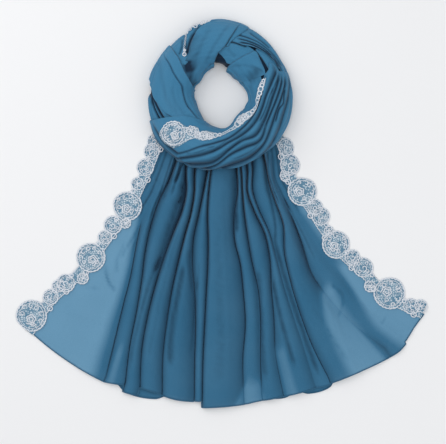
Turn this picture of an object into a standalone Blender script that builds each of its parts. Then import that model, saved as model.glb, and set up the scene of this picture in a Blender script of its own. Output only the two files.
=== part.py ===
"""Hijab headscarf, wound once into a neck ring and laid flat on a table.

A long rectangle of chiffon, 1800 x 850 mm, lies with its middle wound into a
ring and its two ends one on the other, fanned out below the ring. Every
stretch that shows is a cloth wall of its own. The hidden layers of the ring
share one rounded solid that is flat underneath.

Frame: +X to the scarf's right, +Y towards the ring, +Z up, the table at Z = 0.
Sizes below are in millimetres and degrees. Angles turn about the ring's
centre from +X towards +Y, so 270 points down the tail.
"""

import math

import bmesh
import bpy

MM = 0.001
NAME = "hijab_headscarf"

# Ring's centre, in the frame of the whole scarf
RING_X = -3.55
RING_Y = 180.3

# Cloth and the spaces between its layers
WALL = 1.6
TAIL_WALL = 1.2
SPACE = 0.8
CORE_SPACE = 0.3
FIRST = SPACE
SECOND = FIRST + WALL + SPACE
THIRD = SECOND + WALL + SPACE

# Rounded solid of the ring's hidden layers
LAYERS = 5.0
AXIS_HEIGHT = 13.0
AXIS_RISE = 6.0
HALF_HEIGHT = 22.0
FOOT_ROLL = 30.0
INNER_FOOT = -25.0
OUTER_FOOT = 205.0
TAIL_FOOT = 188.0
NOTCH_RADIUS = 94.5
NOTCH_ROOF = 16.0
TAIL_FROM = 216.0
TAIL_TO = 322.0
TAIL_BLEND = 12.0

# Tail
NECK_RADIUS = 95.0
MIDDLE_SHARE = 0.4
EDGE_FLAT = 20.0
EDGE_FULL = 36.0
TAIL_ROWS = (0.0, 0.05, 0.11, 0.18, 0.26, 0.35, 0.45, 0.57, 0.69, 0.80, 0.91, 1.0)

# Ring's plan: a row for each 15 degrees
RING = (
    # angle, hole radius, outer radius
    (0, 39.8, 108.0), (15, 34.8, 106.5), (30, 32.3, 105.0), (45, 31.5, 106.0),
    (60, 32.3, 108.0), (75, 34.0, 109.5), (90, 39.0, 110.0), (105, 41.3, 108.5),
    (120, 37.5, 104.5), (135, 34.0, 103.0), (150, 32.7, 103.5), (165, 36.0, 105.8),
    (180, 39.0, 107.7), (195, 36.8, 110.5), (210, 37.2, 112.5), (225, 40.5, 112.8),
    (240, 45.8, 113.0), (255, 52.5, 111.8), (270, 53.5, 111.0), (285, 53.5, 110.5),
    (300, 46.5, 111.0), (315, 42.8, 112.0), (330, 41.3, 111.0), (345, 42.0, 110.0),
)

# Tail's fold lines: the angle of each valley at these distances from the centre
STATIONS = (96, 120, 150, 180, 218, 255, 300, 345, 398, 455)
LINES = (
    # name, angle at each station
    ("left_edge", (212, 219.5, 225.6, 229.0, 231.8, 232.0, 232.3, 232.0, 230.8, 231.4)),
    ("corner", (222, 227, 231.8, 234.8, 238.0, 241.0, 243.9, 245.5, 247.0, 248.2)),
    ("second", (234, 237.5, 239.8, 240.4, 242.3, 244.5, 247.3, 249.1, 250.4, 252.0)),
    ("knot", (243, 246, 251.0, 252.5, 251.8, 251.4, 251.6, 252.1, 253.1, 254.9)),
    ("narrow", (250.5, 252.5, 255.8, 256.8, 256.5, 256.4, 256.5, 257.0, 257.8, 259.2)),
    ("wedge", (261.8, 261.5, 261.0, 260.5, 260.0, 261.0, 263.0, 264.1, 264.7, 265.3)),
    ("ridge", (264.0, 263.8, 263.9, 264.5, 265.7, 266.2, 266.3, 266.4, 266.5, 266.8)),
    ("panel", (284.5, 282.8, 280.6, 277.3, 276.0, 277.0, 276.9, 276.5, 275.1, 274.6)),
    ("band", (288.0, 286.0, 283.5, 282.0, 281.2, 281.0, 281.2, 280.3, 278.9, 278.0)),
    ("fork", (293.0, 290.5, 286.2, 286.5, 288.0, 287.2, 285.1, 283.7, 282.2, 282.0)),
    ("twin", (298.0, 294.5, 289.3, 288.8, 289.8, 289.4, 288.7, 288.5, 288.5, 288.3)),
    ("right", (309.0, 304.5, 299.5, 297.5, 296.0, 292.4, 290.8, 290.2, 290.2, 291.0)),
    ("short", (316.0, 311.5, 303.3, 301.8, 300.4, 299.0, 297.4, 298.3, 300.3, 303.3)),
    ("soft", (320.0, 315.5, 306.3, 304.6, 303.6, 303.0, 303.8, 304.4, 304.8, 306.8)),
    ("right_edge", (326.0, 321.5, 313.3, 309.5, 308.8, 307.9, 307.7, 309.0, 310.0, 313.2)),
)

# Tail's folds, each between a line and the next one
FOLDS = (
    # crest's share of the width, height at neck, middle and hem,
    # softness of the far side, hem distance at left, middle and right, columns
    (0.75, 4.0, 2.5, 1.0, 1.0, 455, 460, 465, 8),
    (0.50, 9.0, 6.0, 3.5, 0.8, 465, 462, 459, 7),
    (0.35, 11.0, 8.0, 4.5, 0.9, 469, 469, 468, 8),
    (0.30, 10.0, 8.0, 5.0, 0.8, 456, 457, 459, 6),
    (0.25, 9.0, 7.0, 4.0, 1.0, 460, 463, 463, 7),
    (0.50, 8.0, 7.0, 4.0, 0.8, 462, 462, 461, 5),
    (0.12, 9.0, 7.0, 5.0, 0.5, 471, 469, 467, 12),
    (0.30, 8.0, 6.0, 3.0, 0.8, 467, 465, 464, 6),
    (0.25, 9.0, 7.0, 3.5, 0.8, 464, 464, 463, 6),
    (0.50, 8.0, 5.0, 4.0, 0.8, 464, 464, 464, 6),
    (0.50, 9.0, 3.0, 1.5, 0.8, 464, 466, 467, 5),
    (0.20, 10.0, 8.0, 4.0, 0.8, 465, 467, 471, 9),
    (0.40, 9.0, 4.0, 2.0, 0.9, 471, 471, 468, 7),
    (0.50, 6.0, 3.0, 1.0, 1.0, 465, 456, 451, 6),
)

# Under tail: a row for each distance, then its hem
UNDER_SIDES = (
    # distance, left angle, right angle
    (96, 231.0, 310.0), (150, 238.5, 299.0), (218, 242.0, 296.0),
    (300, 243.5, 296.0), (398, 244.0, 296.0), (455, 244.0, 295.5),
)
UNDER_HEM = (
    # angle, distance
    (243.5, 447), (249.0, 453), (252.5, 469), (258.0, 467), (260.5, 455), (266.5, 453),
    (275.0, 450), (279.5, 462), (282.5, 466), (285.0, 460), (287.0, 469), (291.0, 470),
    (293.0, 456), (296.0, 450),
)

# Front strand's inner border, beginning and end
FRONT_BORDER = (
    # angle, distance
    (312, 44.5), (318, 46.5), (325, 50.2), (332, 54.0), (338, 57.0), (345, 55.5), (352, 54.7),
    (360, 56.2), (368, 57.8), (372, 61.5), (376, 67.5), (380, 71.2), (384, 75.0),
)
FRONT_START = (
    # share of the width, angle
    (0.0, 252.0), (0.10, 251.0), (0.16, 249.0), (0.25, 240.0), (0.32, 231.0), (0.39, 221.0),
    (0.47, 212.5), (0.55, 207.0), (0.68, 203.5), (0.86, 202.0), (1.0, 201.0),
)
FRONT_END = ((0.0, 378.0), (0.2, 381.5), (0.4, 384.5), (0.6, 386.5), (0.8, 388.5), (1.0, 390.0))

# Front strand's pleats: the distance of each valley at these angles
PLEAT_ANGLES = (236, 250, 265, 280, 295, 310, 325, 340, 355, 370, 382)
PLEATS = (
    # name, distance at each angle
    ("first", (110, 87, 76, 70, 65, 62.5, 61, 60.5, 62, 66, 74)),
    ("second", (116, 101, 88, 77, 73.2, 71.3, 69.7, 68.5, 70, 79, 92)),
    ("third", (120, 112, 103.5, 87, 80, 84, 80, 78, 80, 88, 97)),
    ("fourth", (124, 117, 109, 94, 90.5, 93.5, 84.5, 82.5, 86, 93, 98.5)),
    ("fifth", (128, 122, 114, 108, 106, 101, 93, 89, 92, 98.5, 102)),
    ("last", (132, 127, 119, 115, 113, 110.5, 105, 101, 102, 105, 106)),
)
PLEAT_HEIGHT = 2.6

# Lace border: a row for each embroidered motif along the edge
LACE_LEFT = (
    # distance from the centre, outward offset, radius
    (117, 5, 12), (131, 4, 12), (155, 4, 13), (181, 4, 10), (217, 4, 22), (239, -9, 8),
    (253, 4, 14), (275, 3, 11), (312, 2, 22), (343, -9, 9), (366, 3, 14), (377, 7, 10),
    (396, 3, 12), (435, 10, 23.5),
)
LACE_RIGHT = (
    # distance from the centre, outward offset, radius
    (126, 4, 12), (149, 4, 15), (161, -8, 8), (192, 5, 22), (222, 6, 12), (238, 6, 14),
    (263, 4, 8), (286, 1, 21), (317, 6, 12), (339, 5, 15), (366, -8, 9), (394, 5, 24),
    (431, 3, 12), (443, 9, 10),
)
LACE_WAIST = 5.0
LACE_WALL = 1.0
LACE_ROW = 6.5
LACE_FROM = 112.0
LACE_LEFT_END = 457.0
LACE_RIGHT_END = 449.0

# Lace on the front strand: its two edges
FRONT_LACE = (
    # angle, inner distance, outer distance
    (212, 83, 98), (214, 77, 107), (218, 73.5, 110), (223, 72, 110.5), (228, 69.7, 108.5),
    (232, 64.5, 105), (236, 61.5, 91), (240, 61.5, 81), (244, 65, 77.5), (249, 61.5, 77),
    (254, 60, 75), (260, 60, 71.5), (266, 61.5, 67.5), (272, 61.5, 64.8), (278, 59, 62.8),
    (285, 56.5, 60.5), (292, 54.7, 60), (298, 51, 59.5), (304, 46.8, 59.2), (311, 45.5, 58),
    (318, 47.5, 59.5), (326, 51.5, 60.6), (334, 55.5, 60.5), (341, 57.5, 60.5),
    (347, 55.6, 60.5), (354, 55.3, 61.5), (361, 56.8, 64), (367, 58.2, 67.5),
    (372, 62, 69.5), (377, 68.5, 72.5),
)


def curve(stations, values, at):
    """Smooth value at a place between table rows, held beyond the ends."""
    last = len(stations) - 1
    if at <= stations[0]:
        return values[0]
    if at >= stations[last]:
        return values[last]
    low = max(i for i in range(last) if stations[i] <= at)
    high = low + 1
    gap = stations[high] - stations[low]
    share = (at - stations[low]) / gap

    def slope(i):
        before = max(i - 1, 0)
        after = min(i + 1, last)
        return (values[after] - values[before]) / (stations[after] - stations[before])

    rise = values[high] - values[low]
    ease = share * share * (3 - 2 * share)
    start = share * (1 - share) * (1 - share) * slope(low) * gap
    finish = share * share * (share - 1) * slope(high) * gap
    return values[low] + rise * ease + start + finish


def column(table, index):
    """One named column of a table."""
    return [row[index] for row in table]


def step(start, finish, at):
    """Smooth 0 to 1 between two places."""
    share = min(max((at - start) / (finish - start), 0.0), 1.0)
    return share * share * (3 - 2 * share)


def mix(first, second, share):
    return first + (second - first) * share


def polar(angle, distance, height):
    """Point in metres from an angle and distance about the ring's centre."""
    turn = math.radians(angle)
    x = RING_X + distance * math.cos(turn)
    y = RING_Y + distance * math.sin(turn)
    return (x * MM, y * MM, height * MM)


# The ring's section: an ellipse, rolled from the hole's foot over the top

def over_tail(angle):
    """1 where the tail comes out from under the ring, 0 elsewhere."""
    turn = angle % 360
    rise = step(TAIL_FROM - TAIL_BLEND, TAIL_FROM, turn)
    return rise * (1 - step(TAIL_TO, TAIL_TO + TAIL_BLEND, turn))


def ring_section(angle):
    """Middle distance, half width and axis height of the solid at an angle."""
    turn = angle % 360
    angles = [-15] + column(RING, 0) + [360, 375]
    holes = [RING[-1][1]] + column(RING, 1) + [RING[0][1], RING[1][1]]
    rims = [RING[-1][2]] + column(RING, 2) + [RING[0][2], RING[1][2]]
    hole = curve(angles, holes, turn)
    rim = curve(angles, rims, turn)
    return (hole + rim) / 2, (rim - hole) / 2 - LAYERS, AXIS_HEIGHT + AXIS_RISE * over_tail(angle)


def section_place(section, roll, lift):
    """Distance and height of a place on the section, lifted off the solid."""
    middle, half, axis = section
    across = math.cos(math.radians(roll))
    up = math.sin(math.radians(roll))
    away = math.hypot(across / half, up / HALF_HEIGHT)
    distance = middle - half * across - lift * across / half / away
    height = axis + HALF_HEIGHT * up + lift * up / HALF_HEIGHT / away
    return distance, max(height, 0.0)


def ring_point(angle, roll, lift):
    distance, height = section_place(ring_section(angle), roll, lift)
    return polar(angle, distance, height)


def roll_at(angle, distance, lift=SECOND):
    """Roll of the place that lies at a distance in plan."""
    section = ring_section(angle)
    low, high = 0.0, 180.0
    for _ in range(24):
        middle = (low + high) / 2
        if section_place(section, middle, lift)[0] < distance:
            low = middle
        else:
            high = middle
    return (low + high) / 2


def outer_foot(angle):
    """Roll where a wall ends outside: near the table, or above the tail."""
    return mix(OUTER_FOOT, TAIL_FOOT, over_tail(angle))


# The tail: a height over each angle and distance

def line_angle(index, distance):
    return curve(STATIONS, LINES[index][1], distance)


def crest_height(fold, along):
    neck, middle, hem = fold[1:4]
    return curve((0.0, MIDDLE_SHARE, 1.0), (neck, middle, hem), along)


def fold_shape(fold, share):
    """Rounded crest between two sharp valleys, 0 to 1."""
    crest, far = fold[0], fold[4]
    if share <= crest:
        return max(math.sin(math.pi / 2 * share / crest), 0.0) ** 0.7
    fall = math.cos(math.pi / 2 * (share - crest) / (1 - crest))
    return max(fall, 0.0) ** far


def hem_distance(fold, share):
    return curve((0.0, 0.5, 1.0), fold[5:8], share)


def under_side(distance, side):
    return curve(column(UNDER_SIDES, 0), column(UNDER_SIDES, side), distance)


def tail_floor(angle, distance):
    """Height of what the tail lies on: the under tail or the table."""
    left = under_side(distance, 1)
    right = under_side(distance, 2)
    inside = step(left - 2.2, left - 0.7, angle) * (1 - step(right + 0.7, right + 2.2, angle))
    return (TAIL_WALL + SPACE) * inside


def flat_edge(angle, distance, left, right):
    """0 under the lace of either long edge, 1 farther in."""
    inward = math.radians(min(angle - left, right - angle)) * distance
    return step(EDGE_FLAT, EDGE_FULL, inward)


def tail_relief(angle, distance):
    """Height of the folds alone, found from the fold lines at this distance."""
    angles = [line_angle(i, distance) for i in range(len(LINES))]
    if angle <= angles[0] or angle >= angles[-1]:
        return 0.0
    index = max(i for i in range(len(FOLDS)) if angles[i] <= angle)
    share = (angle - angles[index]) / (angles[index + 1] - angles[index])
    fold = FOLDS[index]
    hem = hem_distance(fold, share)
    along = min(max((distance - NECK_RADIUS) / (hem - NECK_RADIUS), 0.0), 1.0)
    edge = flat_edge(angle, distance, angles[0], angles[-1])
    return crest_height(fold, along) * fold_shape(fold, share) * edge


def tail_top(angle, distance):
    return tail_floor(angle, distance) + TAIL_WALL + tail_relief(angle, distance)


def tail_under_top(angle, distance):
    """Lower side of the tail's wall, thick enough on the steep sides."""
    nudge = 0.25
    across = math.radians(2 * nudge) * distance
    slope = (tail_relief(angle + nudge, distance) - tail_relief(angle - nudge, distance)) / across
    drop = TAIL_WALL * math.sqrt(1 + min(slope * slope, 4.0))
    floor = tail_floor(angle, distance)
    return floor + max(tail_relief(angle, distance) + TAIL_WALL - drop, 0.0)


def tail_columns():
    """Fold and share across it for each column of the tail."""
    places = []
    for index, fold in enumerate(FOLDS):
        count = fold[8]
        for j in range(count):
            even = j / count
            eased = (1 - math.cos(math.pi * even)) / 2
            places.append((index, mix(even, eased, 0.5)))
    places.append((len(FOLDS) - 1, 1.0))
    return places


# Meshes

def grid_wall(name, rows, columns, outer, inner, material):
    """Closed wall between two grids of points, given by functions of 0 to 1."""
    points = []
    for side in (outer, inner):
        for i in range(rows + 1):
            for j in range(columns + 1):
                points.append(side(i / rows, j / columns))
    return wall_from_points(name, rows, columns, points, material)


def wall_from_points(name, rows, columns, points, material):
    wide = columns + 1
    layer = (rows + 1) * wide
    faces = []
    for i in range(rows):
        for j in range(columns):
            a, b = i * wide + j, i * wide + j + 1
            c, d = b + wide, a + wide
            faces.append((a, b, c, d))
            faces.append((a + layer, d + layer, c + layer, b + layer))
    for i in range(rows):
        for j, flip in ((0, False), (columns, True)):
            a, d = i * wide + j, (i + 1) * wide + j
            side = (a, d, d + layer, a + layer)
            faces.append(side[::-1] if flip else side)
    for j in range(columns):
        for i, flip in ((0, True), (rows, False)):
            a, b = i * wide + j, i * wide + j + 1
            side = (a, b, b + layer, a + layer)
            faces.append(side[::-1] if flip else side)
    return mesh_object(name, points, faces, material)


def mesh_object(name, points, faces, material):
    mesh = bpy.data.meshes.new(name)
    mesh.from_pydata(points, [], faces)
    form = bmesh.new()
    form.from_mesh(mesh)
    bmesh.ops.triangulate(form, faces=form.faces[:], quad_method="BEAUTY")
    bmesh.ops.recalc_face_normals(form, faces=form.faces[:])
    form.to_mesh(mesh)
    form.free()
    mesh.materials.append(material)
    piece = bpy.data.objects.new(name, mesh)
    bpy.data.collections[NAME].objects.link(piece)
    return piece


def make_material(name, colour, roughness, metallic=0.0):
    material = bpy.data.materials.new(name)
    material.use_nodes = True
    shader = material.node_tree.nodes["Principled BSDF"]
    shader.inputs["Base Color"].default_value = (*colour, 1.0)
    shader.inputs["Roughness"].default_value = roughness
    shader.inputs["Metallic"].default_value = metallic
    return material


def ring_wall(name, rows, columns, place, lifts, material):
    """Wall on the ring: place gives angle and roll, lifts gives low and high."""
    def outer(p, q):
        angle, roll = place(p, q)
        return ring_point(angle, roll, lifts(p, q)[1])

    def inner(p, q):
        angle, roll = place(p, q)
        return ring_point(angle, roll, lifts(p, q)[0])

    return grid_wall(name, rows, columns, outer, inner, material)


# Ring

def build_ring_core(material):
    """Hidden layers of the ring as one rounded solid, notched over the tail."""
    turns = 60
    steps = 14
    points = []
    for i in range(turns):
        angle = 360 * i / turns
        section = ring_section(angle)
        cover = over_tail(angle)
        last_roll = mix(180 + FOOT_ROLL, 178.0, cover)
        ring = []
        for j in range(steps + 1):
            roll = mix(-FOOT_ROLL, last_roll, j / steps)
            ring.append(section_place(section, roll, -CORE_SPACE))
        ring[0] = (ring[0][0], 0.0)
        if cover == 0.0:
            ring[-1] = (ring[-1][0], 0.0)
        roof = min(NOTCH_ROOF * cover, ring[-1][1])
        notch = min(NOTCH_RADIUS, ring[-1][0] - 2.0)
        ring.append((notch, roof))
        ring.append((notch - 1.0, 0.0))
        points.extend(polar(angle, distance, height) for distance, height in ring)
    around = steps + 3
    faces = []
    for i in range(turns):
        here = i * around
        there = (i + 1) % turns * around
        for j in range(around):
            k = (j + 1) % around
            faces.append((here + j, here + k, there + k, there + j))
    return mesh_object("ring_core", points, faces, material)


def pleat_relief(angle, distance):
    """Front strand's pleats: rounded between valleys, 0 to 1."""
    valleys = [curve(PLEAT_ANGLES, row[1], angle) for row in PLEATS]
    if distance <= valleys[0]:
        return 0.0
    if distance >= valleys[-1]:
        return 0.6 * step(valleys[-1], valleys[-1] + 6.0, distance)
    index = max(i for i in range(len(valleys) - 1) if valleys[i] <= distance)
    share = (distance - valleys[index]) / (valleys[index + 1] - valleys[index])
    return math.sin(math.pi * share) ** 0.7 * step(valleys[0], valleys[0] + 6.0, distance)


def front_place(p, q):
    """Angle and roll on the front strand: p along it, q across it."""
    start = curve(column(FRONT_START, 0), column(FRONT_START, 1), q)
    finish = curve(column(FRONT_END, 0), column(FRONT_END, 1), q)
    angle = mix(start, finish, p)
    border = curve(column(FRONT_BORDER, 0), column(FRONT_BORDER, 1), angle)
    first = mix(INNER_FOOT, roll_at(angle, border), step(312, 326, angle))
    return angle, mix(first, outer_foot(angle), q)


def front_base(angle):
    """Lift of the front strand's lower side: higher where the left band goes under it."""
    return mix(THIRD + 0.6, SECOND + 0.4, step(258, 275, angle))


def front_lifts(p, q):
    angle, roll = front_place(p, q)
    base = front_base(angle)
    distance = section_place(ring_section(angle), roll, base + WALL)[0]
    sides = (1 - step(170, 188, roll)) * step(0.0, 0.06, p) * (1 - step(0.92, 1.0, p))
    high = base + WALL + PLEAT_HEIGHT * pleat_relief(angle, distance) * sides
    return max(base, high - WALL), high


def build_strand_front(material):
    return ring_wall("strand_front", 32, 20, front_place, front_lifts, material)


def span_place(table, inside=None, outside=None):
    """Place on a band whose start and end angles depend on the distance.

    The band runs from foot to foot, or from and to a given distance in plan.
    """
    distances = column(table, 0)

    def border(side, distance):
        return curve(distances, column(table, side), distance)

    def settle(side, roll):
        angle = border(side, distances[len(distances) // 2])
        for _ in range(8):
            angle = border(side, section_place(ring_section(angle), roll, SECOND)[0])
        return angle

    def place(p, q):
        first, last = INNER_FOOT, None
        if inside:
            first = roll_at(mix(border(1, inside), border(2, inside), p), inside)
        if outside:
            last = roll_at(mix(border(1, outside), border(2, outside), p), outside)
        else:
            last = outer_foot(mix(border(1, distances[-1]), border(2, distances[-1]), p))
        roll = mix(first, last, q)
        return mix(settle(1, roll), settle(2, roll), p), roll

    return place


BAND_TOP = (
    # distance, right angle, left angle
    (20, 104, 176), (30, 103, 176), (40, 101, 174), (46, 99, 168), (52, 95, 163),
    (58, 91, 158), (66, 84, 146), (72, 81, 129), (79, 79, 123), (86, 77, 118),
    (93, 75.5, 113.5), (100, 74, 107), (106, 72.5, 98), (112, 71.5, 94), (124, 71, 92),
)
BAND_LEFT = (
    # distance, top angle, lower angle
    (20, 172, 252), (40, 171, 252), (45, 162, 250), (52, 154, 242), (60, 149, 233),
    (66, 145, 226), (72, 142, 219), (78, 139.5, 209), (84, 138.5, 203), (90, 137.5, 194),
    (97, 136.5, 185), (103, 135.5, 172), (108, 135, 166), (124, 134.5, 164),
)


def build_band_top(material):
    """Smooth top band: over the flap on its right, under the left band."""
    place = span_place(BAND_TOP)

    def lifts(p, q):
        low = mix(THIRD, SECOND, step(0.12, 0.4, p))
        return low, low + WALL

    return ring_wall("band_top", 10, 16, place, lifts, material)


def build_band_left(material):
    """Left band: over the top band, with a raised pressed edge along it."""
    place = span_place(BAND_LEFT)

    def lifts(p, q):
        low = mix(THIRD, SECOND, step(0.12, 0.3, p))
        return low, low + WALL

    return ring_wall("band_left", 14, 15, place, lifts, material)


FLAP_TOP = ((66, 79.5, 85), (76, 76.5, 82), (86, 72, 80), (95, 68, 78), (103, 65.5, 76), (124, 63.5, 75))
UPPER_RIGHT = (
    (76, 52, 77), (80, 37, 78), (86, 27, 78), (93, 24, 77), (100, 20, 76),
    (105, 17, 75), (124, 16, 74),
)
INNER_HIGH = ((42, 63, 74), (48, 58, 78), (54, 53, 80), (60, 50, 81), (68, 48, 81), (75, 50, 77))
INNER_MAIN = (
    (20, 25, 74), (34, 25, 73), (40, 25, 71), (46, 25, 66), (54, 25, 60.5), (62, 25, 55),
    (70, 26, 52),
)
INNER_LOW = ((20, 305, 389), (34, 305, 389), (46, 314, 389), (56, 322, 389), (66, 326, 383))
BACK_TOP = (
    (62, 134, 147), (68, 126, 147), (74, 121, 146), (80, 116, 144), (88, 112, 142),
    (96, 106, 141), (103, 99, 140), (110, 92, 139), (124, 90, 139),
)
LOWER_LEFT = (
    (78, 200, 216), (86, 190, 216), (94, 181, 212), (100, 174, 210), (106, 167, 209), (124, 165, 208),
)


def small_wall(name, table, inside, outside, rows, columns, low, pleats, depth, material):
    """Short stretch of the ring, with a few pleats along it."""
    place = span_place(table, inside, outside)

    def lifts(p, q):
        ends = step(0.15, 0.35, p) * (1 - step(0.55, 0.75, p))
        wave = abs(math.sin(math.pi * pleats * q)) ** 0.7 if pleats else 0.0
        high = low + WALL + depth * wave * ends
        return max(low, high - WALL), high

    return ring_wall(name, rows, columns, place, lifts, material)


# Tail

def build_tail_front(material):
    places = tail_columns()
    count = len(places)
    top = []
    bottom = []
    for along in TAIL_ROWS:
        for index, share in places:
            fold = FOLDS[index]
            distance = mix(NECK_RADIUS, hem_distance(fold, share), along)
            angle = mix(line_angle(index, distance), line_angle(index + 1, distance), share)
            top.append(polar(angle, distance, tail_top(angle, distance)))
            bottom.append(polar(angle, distance, tail_under_top(angle, distance)))
    return wall_from_points("tail_front", len(TAIL_ROWS) - 1, count - 1, top + bottom, material)


def build_tail_under(material):
    angles = column(UNDER_HEM, 0)
    hems = column(UNDER_HEM, 1)

    def place(p, q, height):
        hem = curve(angles, hems, mix(angles[0], angles[-1], q))
        distance = mix(NECK_RADIUS + 0.5, hem, p)
        angle = mix(under_side(distance, 1), under_side(distance, 2), q)
        return polar(angle, distance, height)

    def top(p, q):
        return place(p, q, TAIL_WALL)

    def bottom(p, q):
        return place(p, q, 0.0)

    return grid_wall("tail_under", 5, 22, top, bottom, material)


# Lace

def lace_reach(motifs, distance, side):
    """How far the scalloped edge reaches from the seam, outward or inward."""
    reach = LACE_WAIST
    for centre, offset, radius in motifs:
        along = distance - centre
        if abs(along) < radius:
            reach = max(reach, side * offset + math.sqrt(radius * radius - along * along))
    return reach


def lace_point(edge, side, distance, offset):
    """Plan place at an outward offset from the tail's long edge."""
    angle = line_angle(edge, distance)
    nudge = 2.0
    ahead = polar(line_angle(edge, distance + nudge), distance + nudge, 0.0)
    behind = polar(line_angle(edge, distance - nudge), distance - nudge, 0.0)
    run = (ahead[0] - behind[0], ahead[1] - behind[1])
    length = math.hypot(*run)
    x, y, _ = polar(angle, distance, 0.0)
    return x + side * run[1] / length * offset * MM, y - side * run[0] / length * offset * MM


def lace_floor(x, y, offset):
    """Lower side of the lace: over the tail's edge, then down to the table."""
    across = x / MM - RING_X
    along = y / MM - RING_Y
    angle = math.degrees(math.atan2(along, across)) % 360
    distance = math.hypot(across, along)
    over = tail_top(angle, distance) + SPACE
    return over * (1 - step(2.5, 10.0, offset))


def build_lace_edge(name, edge, side, motifs, finish, material):
    """Scalloped lace along one long edge of the tail."""
    rows = round((finish - LACE_FROM) / LACE_ROW)
    columns = 4

    def place(p, q, lift):
        distance = mix(LACE_FROM, finish, p)
        inward = lace_reach(motifs, distance, -1)
        outward = lace_reach(motifs, distance, 1)
        if q <= 0.5:
            offset = mix(-inward, 0.0, q * 2)
        else:
            offset = mix(0.0, outward, (q - 0.5) * 2)
        x, y = lace_point(edge, side, distance, offset)
        return x, y, (lace_floor(x, y, offset) + lift) * MM

    def top(p, q):
        return place(p, q, LACE_WALL)

    def bottom(p, q):
        return place(p, q, 0.0)

    return grid_wall(name, rows, columns, top, bottom, material)


def build_lace_front(material):
    """Lace on the front strand, made from the strand's points moved out."""
    angles = column(FRONT_LACE, 0)

    def place(p, q, lift):
        angle = mix(angles[0], angles[-1], p)
        inner = curve(angles, column(FRONT_LACE, 1), angle)
        outer = curve(angles, column(FRONT_LACE, 2), angle)
        distance = mix(inner, outer, q)
        height = front_top_lift(angle, distance)
        roll = roll_at(angle, distance, height)
        return ring_point(angle, roll, height + SPACE + 0.3 + lift)

    def top(p, q):
        return place(p, q, LACE_WALL)

    def bottom(p, q):
        return place(p, q, 0.0)

    return grid_wall("lace_front", 40, 6, top, bottom, material)


def front_top_lift(angle, distance):
    """Lift of the front strand's upper side at a place in plan."""
    return front_base(angle) + WALL + PLEAT_HEIGHT * pleat_relief(angle, distance)


def clear_scene():
    for piece in list(bpy.data.objects):
        bpy.data.objects.remove(piece, do_unlink=True)
    for group in list(bpy.data.collections):
        bpy.data.collections.remove(group)


def main():
    clear_scene()
    group = bpy.data.collections.new(NAME)
    bpy.context.scene.collection.children.link(group)
    chiffon = {}
    for name in ("ring_core", "strand_front", "band_top", "band_left", "flap_top", "folds_upper_right",
                 "fold_inner_high", "fold_inner_main", "fold_inner_low", "back_top", "pleats_lower_left",
                 "tail_front", "tail_under"):
        chiffon[name] = make_material("chiffon_" + name, (0.045, 0.195, 0.325), 0.85)
    lace = {}
    for name in ("lace_left", "lace_right", "lace_front"):
        lace[name] = make_material("embroidery_" + name, (0.62, 0.64, 0.68), 0.5)

    build_ring_core(chiffon["ring_core"])
    build_strand_front(chiffon["strand_front"])
    build_band_top(chiffon["band_top"])
    build_band_left(chiffon["band_left"])
    small_wall("flap_top", FLAP_TOP, 68.0, None, 3, 10, SECOND, 0, 0.0, chiffon["flap_top"])
    small_wall("folds_upper_right", UPPER_RIGHT, 77.0, None, 10, 16, FIRST, 4, 2.2,
               chiffon["folds_upper_right"])
    small_wall("fold_inner_high", INNER_HIGH, 43.0, 74.0, 5, 6, FIRST, 0, 0.0, chiffon["fold_inner_high"])
    small_wall("fold_inner_main", INNER_MAIN, None, 70.0, 8, 9, SECOND, 0, 0.0, chiffon["fold_inner_main"])
    small_wall("fold_inner_low", INNER_LOW, None, 66.0, 14, 7, FIRST + 0.2, 0, 0.0, chiffon["fold_inner_low"])
    small_wall("back_top", BACK_TOP, 63.0, None, 8, 12, FIRST, 3, 0.0, chiffon["back_top"])
    small_wall("pleats_lower_left", LOWER_LEFT, 79.0, None, 8, 12, FIRST, 3, 0.0,
               chiffon["pleats_lower_left"])
    build_tail_front(chiffon["tail_front"])
    build_tail_under(chiffon["tail_under"])
    build_lace_edge("lace_left", 0, 1, LACE_LEFT, LACE_LEFT_END, lace["lace_left"])
    build_lace_edge("lace_right", len(LINES) - 1, -1, LACE_RIGHT, LACE_RIGHT_END, lace["lace_right"])
    build_lace_front(lace["lace_front"])


main()
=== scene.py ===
"""Hijab headscarf in teal crepe chiffon with silver lace borders, wound into a
ring and laid flat on a pale table.

Laid out as an add-on: one operator for each stretch or group of stretches of
cloth, two for the lace and one for the stage. Tables are in millimetres and
degrees. Angles turn about the ring's centre from +X towards +Y, so 270 points
down the tail. A place on the ring has an angle, a roll over its section from
the hole at 0 to the rim at 180, and a lift off the hidden layers.
"""

import math

import bpy
import numpy as np
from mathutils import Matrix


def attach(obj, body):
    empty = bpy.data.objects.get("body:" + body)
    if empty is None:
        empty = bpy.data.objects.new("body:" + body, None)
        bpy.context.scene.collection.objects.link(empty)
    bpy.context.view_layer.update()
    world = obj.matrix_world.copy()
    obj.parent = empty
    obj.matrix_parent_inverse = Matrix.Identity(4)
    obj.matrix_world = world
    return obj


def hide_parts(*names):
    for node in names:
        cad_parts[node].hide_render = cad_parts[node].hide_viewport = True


bl_info = {
    "name": "Hijab headscarf",
    "version": (1, 0, 0),
    "blender": (4, 5, 0),
    "location": "View3D > Sidebar > Scarf",
    "description": "Dresses the packed headscarf with thin cloth, hems and embroidered lace",
    "category": "Object",
}

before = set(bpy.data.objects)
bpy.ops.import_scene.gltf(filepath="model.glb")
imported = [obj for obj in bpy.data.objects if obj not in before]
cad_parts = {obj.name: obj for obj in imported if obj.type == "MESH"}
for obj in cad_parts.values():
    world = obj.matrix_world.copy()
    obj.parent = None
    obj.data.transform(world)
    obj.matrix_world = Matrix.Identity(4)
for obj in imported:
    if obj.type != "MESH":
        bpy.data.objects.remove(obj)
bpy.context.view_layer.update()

MM = 0.001
BODY = "root"

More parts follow.
